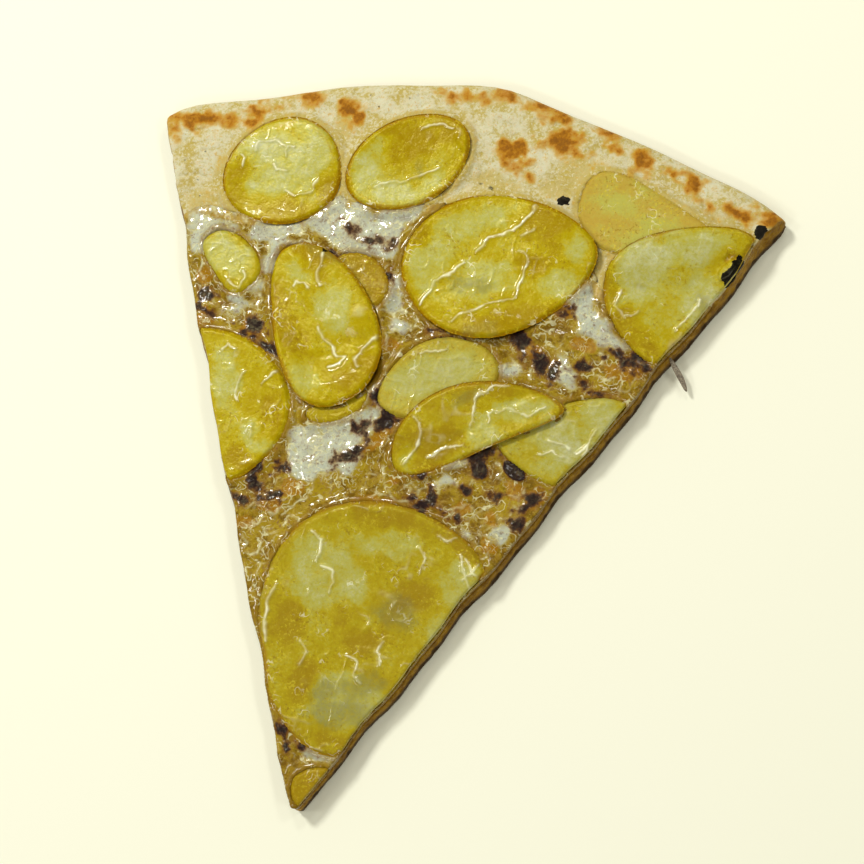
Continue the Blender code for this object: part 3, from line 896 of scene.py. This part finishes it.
class Kitchen:
    """What every piece is made with: the photograph's view, the grain and the solids."""

    MERGE = 0.001
    RIM_SLOPE = 0.12
    FLAT = 0.955
    RIM_STEP = 0.4
    UPRIGHT = 0.1
    OUTWARD = 0.7
    BELOW = 2.0

    def __init__(self) -> None:
        """Read the solids' rims and what lies under the potato slices."""
        self.view = PhotoView()
        self.grain = Grain(41)
        self.potatoes = sorted(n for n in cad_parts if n.startswith("potato_"))
        self.rims = {name: self._rim(name) for name in self.potatoes}
        self.all_rims = self.tree(np.concatenate([p for p in self.rims.values() if len(p)]))
        self.cover = self._cover()

    def copy(self, node: str) -> bmesh.types.BMesh:
        """Copy a node's mesh in millimetres, with its loose triangles merged.

        Args:
            node: The node's name.

        Returns:
            The copy.
        """
        bm = bmesh.new()
        bm.from_mesh(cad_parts[node].data)
        bmesh.ops.scale(bm, vec=(1 / MM,) * 3, verts=bm.verts)
        bmesh.ops.remove_doubles(bm, verts=bm.verts, dist=self.MERGE)
        bm.normal_update()
        return bm

    def _rim(self, node: str) -> np.ndarray:
        """Follow a potato slice's own rim, without its cut edge.

        Args:
            node: The slice's node.

        Returns:
            Points close together along the rim.
        """
        bm = self.copy(node)
        points = []
        for edge in bm.edges:
            slopes = sorted(f.normal.z for f in edge.link_faces)
            if len(slopes) != 2:
                continue
            if -self.FLAT < slopes[0] < -self.RIM_SLOPE and slopes[1] > self.RIM_SLOPE:
                start, end = (v.co for v in edge.verts)
                steps = max(2, int((end - start).length / self.RIM_STEP))
                points += [start.lerp(end, i / steps) for i in range(steps)]
        bm.free()
        return np.array(points).reshape(-1, 3)

    def tree(self, points: np.ndarray) -> KDTree:
        """Sort points so that the nearest is found fast, seen from above.

        Args:
            points: The points, one a row.

        Returns:
            A tree of the points.
        """
        tree = KDTree(len(points))
        for index, (x, y, _) in enumerate(points):
            tree.insert((x, y, 0.0), index)
        tree.balance()
        return tree

    def cheese_edge(self) -> np.ndarray:
        """Follow the edge where the cheese meets the crust.

        Returns:
            Points close together along the edge.
        """
        bm = self.copy("cheese")
        found = []
        for face in bm.faces:
            centre = face.calc_center_median()
            out = Vector((centre.x - TIP[0], centre.y - TIP[1], 0.0)).normalized()
            if abs(face.normal.z) < self.UPRIGHT and face.normal.dot(out) > self.OUTWARD:
                found += [v.co.lerp(centre, share) for v in face.verts for share in (0.0, 0.5)]
        bm.free()
        return np.array(found)

    def _cover(self) -> BVHTree:
        """Gather all potato slices.

        Returns:
            One tree of their faces.
        """
        whole = bmesh.new()
        for name in self.potatoes:
            whole.from_mesh(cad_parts[name].data)
        bmesh.ops.scale(whole, vec=(1 / MM,) * 3, verts=whole.verts)
        tree = BVHTree.FromBMesh(whole)
        whole.free()
        return tree

    def rim_distance(self, points: np.ndarray, tree: KDTree) -> np.ndarray:
        """Return how far points are from a rim, seen from above, in millimetres."""
        return np.array([tree.find((x, y, 0.0))[2] for x, y in points[:, :2]])

    def is_covered(self, points: np.ndarray) -> np.ndarray:
        """Find which points lie under a potato slice.

        Args:
            points: The points, one a row.

        Returns:
            True for each point that does.
        """
        up = Vector((0, 0, 1))
        hits = (self.cover.ray_cast(Vector((x, y, self.BELOW)), up)[0] for x, y in points[:, :2])
        return np.array([hit is not None for hit in hits])


class Piece:
    """One finished piece that stands for a solid."""

    FLAT_SIDES = 20
    LEVEL_GAP = 0.0001
    FACES_UP = (0.15, 0.6)
    ACROSS = 4.0

    def __init__(self, kitchen: Kitchen, node: str, name: str, slot: str) -> None:
        """Name the piece, its solid and its slot."""
        self.kitchen, self.node, self.name, self.slot = kitchen, node, name, slot

    def remesh(self, voxel: float, smooth: int, floor: float | None = None) -> None:
        """Make the fine mesh of the piece from a copy of its solid.

        Args:
            voxel: The size of its faces, in millimetres.
            smooth: How many times its points are evened out.
            floor: Where it is cut level and closed with one face, or None.
        """
        bm = self.kitchen.copy(self.node)
        mesh = bpy.data.meshes.new(self.name)
        bm.to_mesh(mesh)
        bm.free()
        item = bpy.data.objects.new(self.name, mesh)
        bpy.context.scene.collection.objects.link(item)
        modifier = item.modifiers.new("remesh", "REMESH")
        modifier.mode, modifier.voxel_size = "VOXEL", voxel
        bpy.context.view_layer.update()
        seen = item.evaluated_get(bpy.context.evaluated_depsgraph_get())
        fine = bpy.data.meshes.new_from_object(seen)
        item.modifiers.clear()
        item.data = fine
        fine.name = self.name
        bpy.data.meshes.remove(mesh)
        bm = bmesh.new()
        bm.from_mesh(fine)
        for _ in range(smooth):
            bmesh.ops.smooth_vert(bm, verts=bm.verts, factor=0.5,
                                  use_axis_x=True, use_axis_y=True, use_axis_z=True)
        if floor is not None:
            cut = bmesh.ops.bisect_plane(bm, geom=bm.verts[:] + bm.edges[:] + bm.faces[:],
                                         dist=self.LEVEL_GAP, plane_co=(0, 0, floor),
                                         plane_no=(0, 0, -1), clear_outer=True)
            rim = [e for e in cut["geom_cut"] if isinstance(e, bmesh.types.BMEdge)]
            bmesh.ops.holes_fill(bm, edges=rim, sides=0)
        bmesh.ops.recalc_face_normals(bm, faces=bm.faces)
        bm.to_mesh(fine)
        bm.free()
        self.item = item

    def read(self) -> None:
        """Read the fine mesh's points, their normals and where the photograph shows them."""
        mesh = self.item.data
        points, normals = (np.empty(len(mesh.vertices) * 3) for _ in range(2))
        mesh.vertices.foreach_get("co", points)
        mesh.vertices.foreach_get("normal", normals)
        self.points, self.normals = points.reshape(-1, 3), normals.reshape(-1, 3)
        self.pixels = self.kitchen.view.to_pixels(self.points)
        self.top = ease(*self.FACES_UP, self.normals[:, 2])

    def wave(self, size: float, shift: float) -> np.ndarray:
        """Return one layer of unevenness at the points, with waves of a size in millimetres."""
        return self.kitchen.grain.wave(self.points, size, shift)

    def rough(self, size: float, layers: int, shift: float = 0.0) -> np.ndarray:
        """Return several layers of unevenness at the points, the longest of a size."""
        return self.kitchen.grain.rough(self.points, size, layers, shift)

    def ridge(self, size: float, shift: float, width: float) -> np.ndarray:
        """Return narrow ridges from 0 to 1, where a layer of unevenness crosses its middle."""
        return np.exp(-(self.wave(size, shift) / width) ** 2)

    def bent_pixels(self, *bends: tuple) -> np.ndarray:
        """Move the points' pixels about, so that lines read from them look drawn by hand.

        Args:
            bends: How far in pixels, the size of the waves in millimetres and the layer of each.

        Returns:
            The moved pixels.
        """
        moved = np.zeros_like(self.pixels)
        for far, size, shift in bends:
            sideways, down = self.wave(size, shift), self.wave(size, shift + self.ACROSS)
            moved += far * np.column_stack([sideways, down])
        return self.pixels + moved

    def cover(self, marks: Marks) -> np.ndarray:
        """Return how fully marks of one kind cover each point."""
        return marks.cover(self.pixels, self.kitchen.grain)

    def mark(self, name: str, values: np.ndarray) -> None:
        """Keep a value for each point, which the material reads."""
        attribute = self.item.data.attributes.new(name, "FLOAT", "POINT")
        attribute.data.foreach_set("value", np.asarray(values, np.float32))

    def close(self, material: bpy.types.Material) -> bpy.types.Object:
        """Write the points back in metres, dress the piece and put it on its body.

        Args:
            material: Its finish.

        Returns:
            The finished object.
        """
        mesh = self.item.data
        mesh.vertices.foreach_set("co", (self.points * MM).ravel())
        sides = np.empty(len(mesh.polygons), int)
        mesh.polygons.foreach_get("loop_total", sides)
        mesh.polygons.foreach_set("use_smooth", sides < self.FLAT_SIDES)
        mesh.update()
        mesh.materials.clear()
        mesh.materials.append(material)
        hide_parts(self.node)
        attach(self.item, BODY)
        LOG.info("%s: %d points, %d faces", self.name, len(mesh.vertices), len(mesh.polygons))
        return self.item


@dataclass(frozen=True)
class PotatoSlice:
    """One cooked potato slice."""

    node: str
    tone: Tone
    wrinkle: float = 0.10
    rim: float = 1.0
    dry: float = 0.0
    shade: float = 0.0
    toast: float = 0.0
    voxel: float = 0.28
    smooth: int = 8
    folded: tuple = ()
    fold_rise: float = 1.7
    full_crest: float = 0.24
    wet_fold: float = 0.2
    char_rise: float = 0.12
    rim_drop: float = 0.8

    def build(self, kitchen: Kitchen, material: bpy.types.Material) -> bpy.types.Object:
        """Build and dress the slice.

        Args:
            kitchen: What it is made with.
            material: Its finish.

        Returns:
            The finished object.
        """
        piece = Piece(kitchen, self.node, "cooked_" + self.node, "potato")
        piece.remesh(self.voxel, self.smooth)
        piece.read()
        away = kitchen.rim_distance(piece.points, kitchen.tree(kitchen.rims[self.node]))
        char = piece.cover(BLACK_FLAKES) * piece.top
        self.mark(piece, away, char)
        self.fold(piece, away, char)
        return piece.close(material)

    def mark(self, piece: Piece, away: np.ndarray, char: np.ndarray) -> None:
        """Keep the marks that the material reads.

        Args:
            piece: The slice's piece.
            away: How far each point is from the slice's own rim.
            char: How fully char covers each point.
        """
        near = away + 0.3 * piece.rough(3.0, 2, 5.0)
        band = np.maximum(2.2 + 1.8 * piece.wave(7.0, 37.0), 0.6)
        inner = 0.5 * np.exp(-((near - 2.3) / 0.45) ** 2) * ease(-0.3, 0.3, piece.wave(9.0, 2.0))
        rim = np.maximum(1 - ease(0.1, band, near), inner)
        tone = self.tone.value + 0.52 * piece.cover(PALE_FLESH) - 0.6 * piece.cover(DEEP_FLESH)
        tone = tone + 0.16 * piece.rough(9.0, 3, 9.0)
        piece.mark("tone", tone - 0.12 * (1 - ease(1.0, 5.0, away)))
        piece.mark("rim", np.maximum(rim * self.rim, self.toast))
        piece.mark("brown", piece.cover(BROWN_FLESH) * piece.top)
        piece.mark("char", char)
        piece.mark("dry", np.full(len(away), self.dry))
        piece.mark("shade", np.full(len(away), self.shade))

    def fold(self, piece: Piece, away: np.ndarray, char: np.ndarray) -> None:
        """Raise the folds, keep where the coat of oil shines and where a painted highlight runs
        along the crests, and thin the slice towards its rim.

        Args:
            piece: The slice's piece.
            away: How far each point is from the slice's own rim.
            char: How fully char covers each point.
        """
        points, top, wave = piece.points, piece.top, piece.wave
        flat = ease(0.6, 2.0, away) * top
        relief = 0.09 * wave(8.0, 3.0) + 0.05 * wave(3.6, 6.0) + 0.025 * wave(1.5, 2.0)
        patch = ease(0.0, 0.5, wave(10.0, 8.0))
        ridged = piece.ridge(5.0, 11.0, 0.16)
        fine = piece.ridge(2.6, 21.0, 0.2) * ease(0.0, 0.5, wave(7.0, 31.0))
        crinkle = self.wrinkle * np.maximum(ridged * patch, 0.7 * fine)
        bent = piece.bent_pixels((2.0, 2.8, 4.0), (0.8, 1.3, 44.0))
        near = np.maximum(fold_height(bent, SKIN_FOLDS, 1.4) / self.wet_fold,
                          0.6 * np.maximum(ridged * patch, fine))
        wet = 0.1 + 0.9 * np.clip(near, 0, 1) + 0.12 * ease(0.25, 0.5, wave(5.0, 41.0))
        piece.mark("gloss_and_painted_glint", np.clip(wet, 0, 1) * ease(1.2, 3.4, away) * (1 - 0.8 * self.dry))
        # the fold mark is a painted highlight along the crests of the folds and of random crinkles,
        # broken in places
        crest = fold_height(bent, SKIN_FOLDS, 0.4) / self.full_crest
        lesser = np.maximum(ridged ** 3 * patch, fine ** 3) * ease(-0.1, 0.3, wave(3.0, 25.0)) * 0.2
        broken = 0.35 + 0.65 * ease(-0.3, 0.3, wave(2.2, 15.0))
        bright = np.clip(np.maximum(crest, lesser) * broken, 0, 1)
        piece.mark("fold", bright * flat * (1 - 0.7 * self.dry))
        points[:, 2] += (relief + crinkle + self.fold_rise * fold_height(bent, SKIN_FOLDS)) * flat
        points[:, 2] += self.char_rise * char - self.rim_drop * (1 - ease(-0.3, 1.8, away)) * top
        points[:, 2] += fold_height(piece.pixels, self.folded) * top


@dataclass(frozen=True)
class MeltedCheese:
    """The sheet of cheese between the potato slices."""

    voxel: float = 0.44
    smooth: int = 2
    floor: float = 5.45
    bed: float = 5.0
    snug: float = 0.45
    swell: float = 0.4
    lip_reach: float = 1.3
    climb_reach: float = 2.0
    climb: float = 1.6
    crust_level: float = 7.0

    def build(self, kitchen: Kitchen, material: bpy.types.Material) -> bpy.types.Object:
        """Build and dress the cheese.

        Args:
            kitchen: What it is made with.
            material: Its finish.

        Returns:
            The finished object.
        """
        piece = Piece(kitchen, "cheese", "melted_cheese", "cheese")
        piece.remesh(self.voxel, self.smooth, self.floor)
        piece.read()
        points, top, wave = piece.points, piece.top, piece.wave
        away = kitchen.rim_distance(points, kitchen.all_rims)
        edge = kitchen.rim_distance(points, kitchen.tree(kitchen.cheese_edge()))
        open_air = np.where(kitchen.is_covered(points) & (away > SHELTERED), 0.0, top)
        white, gloss = piece.cover(WHITE_CHEESE), piece.cover(GLOSSY_CHAR)
        char = np.maximum(piece.cover(CHEESE_CHAR), gloss)
        glint_ridge = self.glint_ridges(piece)
        self.mark(piece, away, edge, white)
        piece.mark("char", char)
        # this mark is a painted highlight along the raised ridges of the cheese, where it lies open
        piece.mark("gloss_and_painted_glint", glint_ridge * open_air * ease(0.3, 1.2, away))
        lumps = 0.24 * wave(3.4, 1.0) + 0.16 * np.abs(wave(2.0, 5.0)) + 0.04 * wave(1.1, 7.0)
        crags = 0.28 * np.abs(wave(1.5, 9.0)) * char * (1 - gloss)
        climb = self.climb * np.exp(-(np.maximum(away - 0.2, 0) / self.climb_reach) ** 2)
        climb *= 0.85 + 0.35 * wave(6.0, 19.0)
        rise = (self.swell * ease(0.0, 3.0, edge) + (lumps + 0.16 * glint_ridge) * ease(0.3, 1.5, away)
                + crags + 0.3 * white + 0.5 * gloss)
        points[:, 2] += (rise * ease(0.2, 2.0, edge) + climb) * open_air
        self.spill(piece, edge)
        points[points[:, 2] < self.floor + FLOOR_GAP, 2] = self.bed
        return piece.close(material)

    def mark(self, piece: Piece, away: np.ndarray, edge: np.ndarray, white: np.ndarray) -> None:
        """Keep the marks that the material reads.

        Args:
            piece: The cheese's piece.
            away: How far each point is from the rim of a slice.
            edge: How far each point is from the crust.
            white: How fully white curds cover each point.
        """
        baked = piece.cover(BAKED_CHEESE)
        fringe = 1 - ease(0.4, 3.8, edge + 2.2 * piece.rough(7.0, 2))
        piece.mark("fringe", fringe * (1 - 0.8 * white))
        piece.mark("white", white * (1 - 0.5 * baked))
        piece.mark("baked", baked)
        piece.mark("hem", ease(1.6, 0.3, away + 0.8 * piece.wave(5.0, 23.0)))
        piece.mark("side", 1 - piece.top)

    def glint_ridges(self, piece: Piece) -> np.ndarray:
        """Find the low ridges on the cheese that carry a painted highlight.

        Args:
            piece: The cheese's piece.

        Returns:
            How fully the ridges and their painted highlight cover each point.
        """
        loose = 0.5 * piece.ridge(3.4, 27.0, 0.06) * ease(0.15, 0.5, piece.wave(4.0, 33.0))
        bent = piece.bent_pixels((2.2, 2.0, 4.0))
        drawn = fold_height(bent, CHEESE_GLINT_RIDGES, 0.42) / GLINT_RIDGE_HEIGHT
        return np.maximum(loose, drawn * (0.4 + 0.6 * ease(-0.3, 0.3, piece.wave(2.2, 15.0))))

    def spill(self, piece: Piece, edge: np.ndarray) -> None:
        """Let the cheese run over the crust in a low lip, and press its sides against the dough.

        Args:
            piece: The cheese's piece.
            edge: How far each point is from the crust.
        """
        points = piece.points
        out = points[:, :2] - np.array(TIP)
        out /= np.linalg.norm(out, axis=1)[:, None]
        close = ease(1.2, 0.3, edge)
        lip = close * ease(0.0, 0.3, points[:, 2] - self.crust_level)
        points[:, :2] += np.maximum(self.lip_reach * lip, self.snug * close)[:, None] * out
        points[:, 2] += lip * (0.16 + 0.2 * piece.wave(2.5, 13.0))


@dataclass(frozen=True)
class BakedDough:
    """The base, the low crust and the faces that the two cuts left."""

    voxel: float = 0.46
    smooth: int = 3
    floor: float = 0.45
    recess: float = 5.0
    recess_gap: float = 0.25
    level_slope: float = 0.95
    crust_level: tuple = (6.0, 7.0)
    climb_reach: float = 1.8

    def open_recess(self, piece: Piece) -> None:
        """Close the flat bed under the cheese with one face.

        Args:
            piece: The dough's piece.
        """
        bm = bmesh.new()
        bm.from_mesh(piece.item.data)
        bm.normal_update()
        level = [f for f in bm.faces if f.normal.z > self.level_slope]
        bed = [f for f in level if abs(f.calc_center_median().z - self.recess) < self.recess_gap]
        bmesh.ops.delete(bm, geom=bed, context="FACES")
        bmesh.ops.holes_fill(bm, edges=[e for e in bm.edges if e.is_boundary], sides=0)
        bmesh.ops.recalc_face_normals(bm, faces=bm.faces)
        bm.to_mesh(piece.item.data)
        bm.free()

    def build(self, kitchen: Kitchen, material: bpy.types.Material) -> bpy.types.Object:
        """Build and dress the dough.

        Args:
            kitchen: What it is made with.
            material: Its finish.

        Returns:
            The finished object.
        """
        piece = Piece(kitchen, "dough", "baked_dough", "dough")
        piece.remesh(self.voxel, self.smooth, self.floor)
        self.open_recess(piece)
        piece.read()
        points, wave = piece.points, piece.wave
        away = kitchen.rim_distance(points, kitchen.all_rims)
        toast, cut = piece.cover(CRUST_TOAST), self.cut_faces(piece)
        self.mark(piece, away, toast, cut)
        crust = piece.top * ease(*self.crust_level, points[:, 2])
        relief = 0.22 * wave(4.2, 2.0) + 0.13 * wave(1.6, 7.0)
        relief += 0.55 * np.clip(wave(7.0, 17.0) - 0.12, 0, 1)
        relief += 0.25 * toast + fold_height(piece.pixels, CRUST_CREASES)
        climb = np.exp(-(np.maximum(away - 0.2, 0) / self.climb_reach) ** 2)
        climb *= ~kitchen.is_covered(points) | (away < SHELTERED)
        relief += (1.2 + 0.45 * wave(6.0, 19.0)) * climb
        points[:, 2] += relief * crust
        pores = np.clip(wave(2.0, 3.0) * 1.6 + 0.6 * wave(1.1, 12.0), -0.3, 1.0)
        depth = 0.32 * pores * cut * ease(0.5, 1.2, points[:, 2])
        points -= piece.normals * depth[:, None]
        points[points[:, 2] < self.floor + FLOOR_GAP, 2] = 0.0
        return piece.close(material)

    def cut_faces(self, piece: Piece) -> np.ndarray:
        """Find the faces that the two cuts left.

        Args:
            piece: The dough's piece.

        Returns:
            How fully each point lies on one.
        """
        out = piece.points[:, :2] - np.array(TIP)
        along = np.abs(np.sum(piece.normals[:, :2] * out, axis=1)) / np.linalg.norm(out, axis=1)
        return ease(0.6, 0.4, np.abs(piece.normals[:, 2])) * ease(0.6, 0.4, along)

    def mark(self, piece: Piece, away: np.ndarray, toast: np.ndarray, cut: np.ndarray) -> None:
        """Keep the marks that the material reads.

        Args:
            piece: The dough's piece.
            away: How far each point is from the rim of a slice.
            toast: How fully toasted patches cover each point.
            cut: How fully each point lies on a cut face.
        """
        top, height, upright = piece.top, piece.points[:, 2], np.abs(piece.normals[:, 2])
        oily = np.maximum(piece.cover(CRUST_OIL) * 0.8, ease(3.0, 0.4, away))
        edge = ease(0.8, 0.2, upright) * (1 - cut) * ease(7.0, 4.0, height) * 0.6
        specks = np.maximum(0.5 * piece.cover(PEPPER), piece.cover(BLACK_FLAKES))
        piece.mark("toast", np.maximum(toast * top, edge))
        piece.mark("oily", oily * ease(*self.crust_level, height))
        piece.mark("char", specks * top)
        piece.mark("crumb", np.maximum(cut, ease(6.0, 5.4, height) * top))
        piece.mark("base", ease(4.0, 1.0, height) * (1 - top))
        piece.mark("under", ease(-0.6, -0.9, piece.normals[:, 2]))


@dataclass(frozen=True)
class HerbNeedle:
    """The dry needle that sticks out of the right-hand cut."""

    voxel: float = 0.16
    smooth: int = 3
    near_end: float = 0.6
    reach: tuple = (-2.4, 2.1, 0.3)

    def build(self, kitchen: Kitchen, material: bpy.types.Material) -> bpy.types.Object:
        """Build and dress the needle.

        Args:
            kitchen: What it is made with.
            material: Its finish.

        Returns:
            The finished object.
        """
        piece = Piece(kitchen, "herb_needle", "dry_herb_needle", "herb")
        piece.remesh(self.voxel, self.smooth)
        piece.read()
        across = piece.points[:, 0]
        near = ease(self.near_end, 0.0, (across - across.min()) / np.ptp(across))
        piece.points += np.outer(near, self.reach)
        return piece.close(material)


@dataclass(frozen=True)
class Lamp:
    """A small square lamp: its turn round the picture and lean in degrees, its watts and metres."""

    name: str
    round: float
    lean: float
    power: float
    size: float


@dataclass(frozen=True)
class Studio:
    """A pale floor, a bright lamp at the upper left, small lamps round it and a soft sky."""

    floor_colour: tuple = (0.98, 0.97, 0.76)
    cloud_colour: tuple = (1.0, 1.0, 0.9)
    cloud_size: float = 300.0
    cloud_share: float = 0.05
    floor_roughness: float = 0.9
    floor_half: float = 2.5
    floor_drop: float = 0.0003
    sky: tuple = (1.0, 0.97, 0.84)
    sky_strength: float = 0.25
    lamp_distance: float = 1.4
    lamps: tuple = (
        Lamp("key_lamp", 130, 36, 10.2, 0.2), Lamp("top_lamp", 85, 34, 1.7, 0.14),
        Lamp("left_lamp", 175, 34, 1.7, 0.14), Lamp("right_lamp", 35, 36, 1.4, 0.14),
        Lamp("low_lamp", 220, 34, 1.4, 0.14), Lamp("side_lamp", 345, 38, 1.2, 0.14),
        Lamp("front_lamp", 275, 36, 1.2, 0.14),
    )

    def build(self, view: PhotoView) -> None:
        """Add the floor and the lights.

        Args:
            view: The photograph's view, which says where its right and its top are.
        """
        bm = bmesh.new()
        bmesh.ops.create_grid(bm, x_segments=2, y_segments=2, size=self.floor_half)
        bmesh.ops.translate(bm, verts=bm.verts, vec=(0, 0, -self.floor_drop))
        mesh = bpy.data.meshes.new("floor")
        bm.to_mesh(mesh)
        bm.free()
        floor = bpy.data.objects.new("floor", mesh)
        bpy.context.scene.collection.objects.link(floor)
        recipe = Recipe("pale_floor")
        cloud = recipe.noise(self.cloud_size, 2)
        share = cloud * self.cloud_share
        recipe.colour = recipe.mix(share, self.floor_colour, self.cloud_colour)
        recipe.finish(self.floor_roughness, cloud, 0.01)
        mesh.materials.append(recipe.material)
        world = bpy.data.worlds.new("soft_light")
        world.use_nodes = True
        back = world.node_tree.nodes["Background"]
        back.inputs["Color"].default_value = (*self.sky, 1.0)
        back.inputs["Strength"].default_value = self.sky_strength
        bpy.context.scene.world = world
        right, up, _ = view.axes()
        flat_right = Vector((right.x, right.y, 0)).normalized()
        flat_up = Vector((up.x, up.y, 0)).normalized()
        for lamp in self.lamps:
            turn, lean = math.radians(lamp.round), math.radians(lamp.lean)
            side = flat_right * math.cos(turn) + flat_up * math.sin(turn)
            self.hang(lamp, side * math.sin(lean) + Vector((0, 0, math.cos(lean))))
        bpy.context.scene.view_settings.view_transform = "Standard"

    def hang(self, lamp: Lamp, towards: Vector) -> None:
        """Hang a lamp so that it shines on the slice.

        Args:
            lamp: The lamp.
            towards: The direction from the slice to the lamp.
        """
        data = bpy.data.lights.new(lamp.name, "AREA")
        data.shape, data.size, data.energy = "SQUARE", lamp.size, lamp.power
        item = bpy.data.objects.new(lamp.name, data)
        bpy.context.scene.collection.objects.link(item)
        turn = towards.to_track_quat("Z", "Y").to_matrix().to_4x4()
        item.matrix_world = Matrix.Translation(towards * self.lamp_distance) @ turn


SLICES = (
    PotatoSlice("potato_rim_left", Tone.MILD, 0.06),
    PotatoSlice("potato_rim_middle", Tone.MILD, 0.10, folded=(FOLDED_EDGE,)),
    PotatoSlice("potato_under_right", Tone.YELLOW, 0.08, 0.25, 1.0),
    PotatoSlice("potato_pale_left", Tone.MILD, 0.14, 0.2, shade=0.06),
    PotatoSlice("potato_under_centre", Tone.BROWNED, 0.2, 0.9, shade=0.12, toast=0.5),
    PotatoSlice("potato_left_edge", Tone.YELLOW, 0.16, 0.8),
    PotatoSlice("potato_pale_middle", Tone.MILD, 0.14, 0.45, 0.35, shade=0.16),
    PotatoSlice("potato_right_edge", Tone.MILD, 0.14, 0.5, shade=0.18),
    PotatoSlice("potato_sliver", Tone.YELLOW, 0.12, 0.5, shade=0.1),
    PotatoSlice("potato_near_tip", Tone.YELLOW, 0.18, shade=0.16, voxel=0.31),
    PotatoSlice("potato_tip_bit", Tone.BROWNED, 0.10, 0.6, shade=0.1, toast=0.35),
    PotatoSlice("potato_centre_left", Tone.YELLOW, 0.12),
    PotatoSlice("potato_half_moon", Tone.YELLOW, 0.10, shade=0.1),
    PotatoSlice("potato_large_oval", Tone.YELLOW, 0.12),
    PotatoSlice("potato_right_oval", Tone.MILD, 0.10, 0.8, shade=0.08),
)


def main() -> None:
    """Build every piece, the floor and the lights."""
    logging.basicConfig(level=logging.INFO, format="%(message)s")
    kitchen = Kitchen()
    kitchen.view.add_camera()
    Studio().build(kitchen.view)
    BakedDough().build(kitchen, DoughFinish().make())
    MeltedCheese().build(kitchen, CheeseFinish().make())
    potato = PotatoFinish().make()
    for part in SLICES:
        part.build(kitchen, potato)
    HerbNeedle().build(kitchen, HerbFinish().make())
    bpy.context.view_layer.update()


if __name__ == "__main__":
    main()
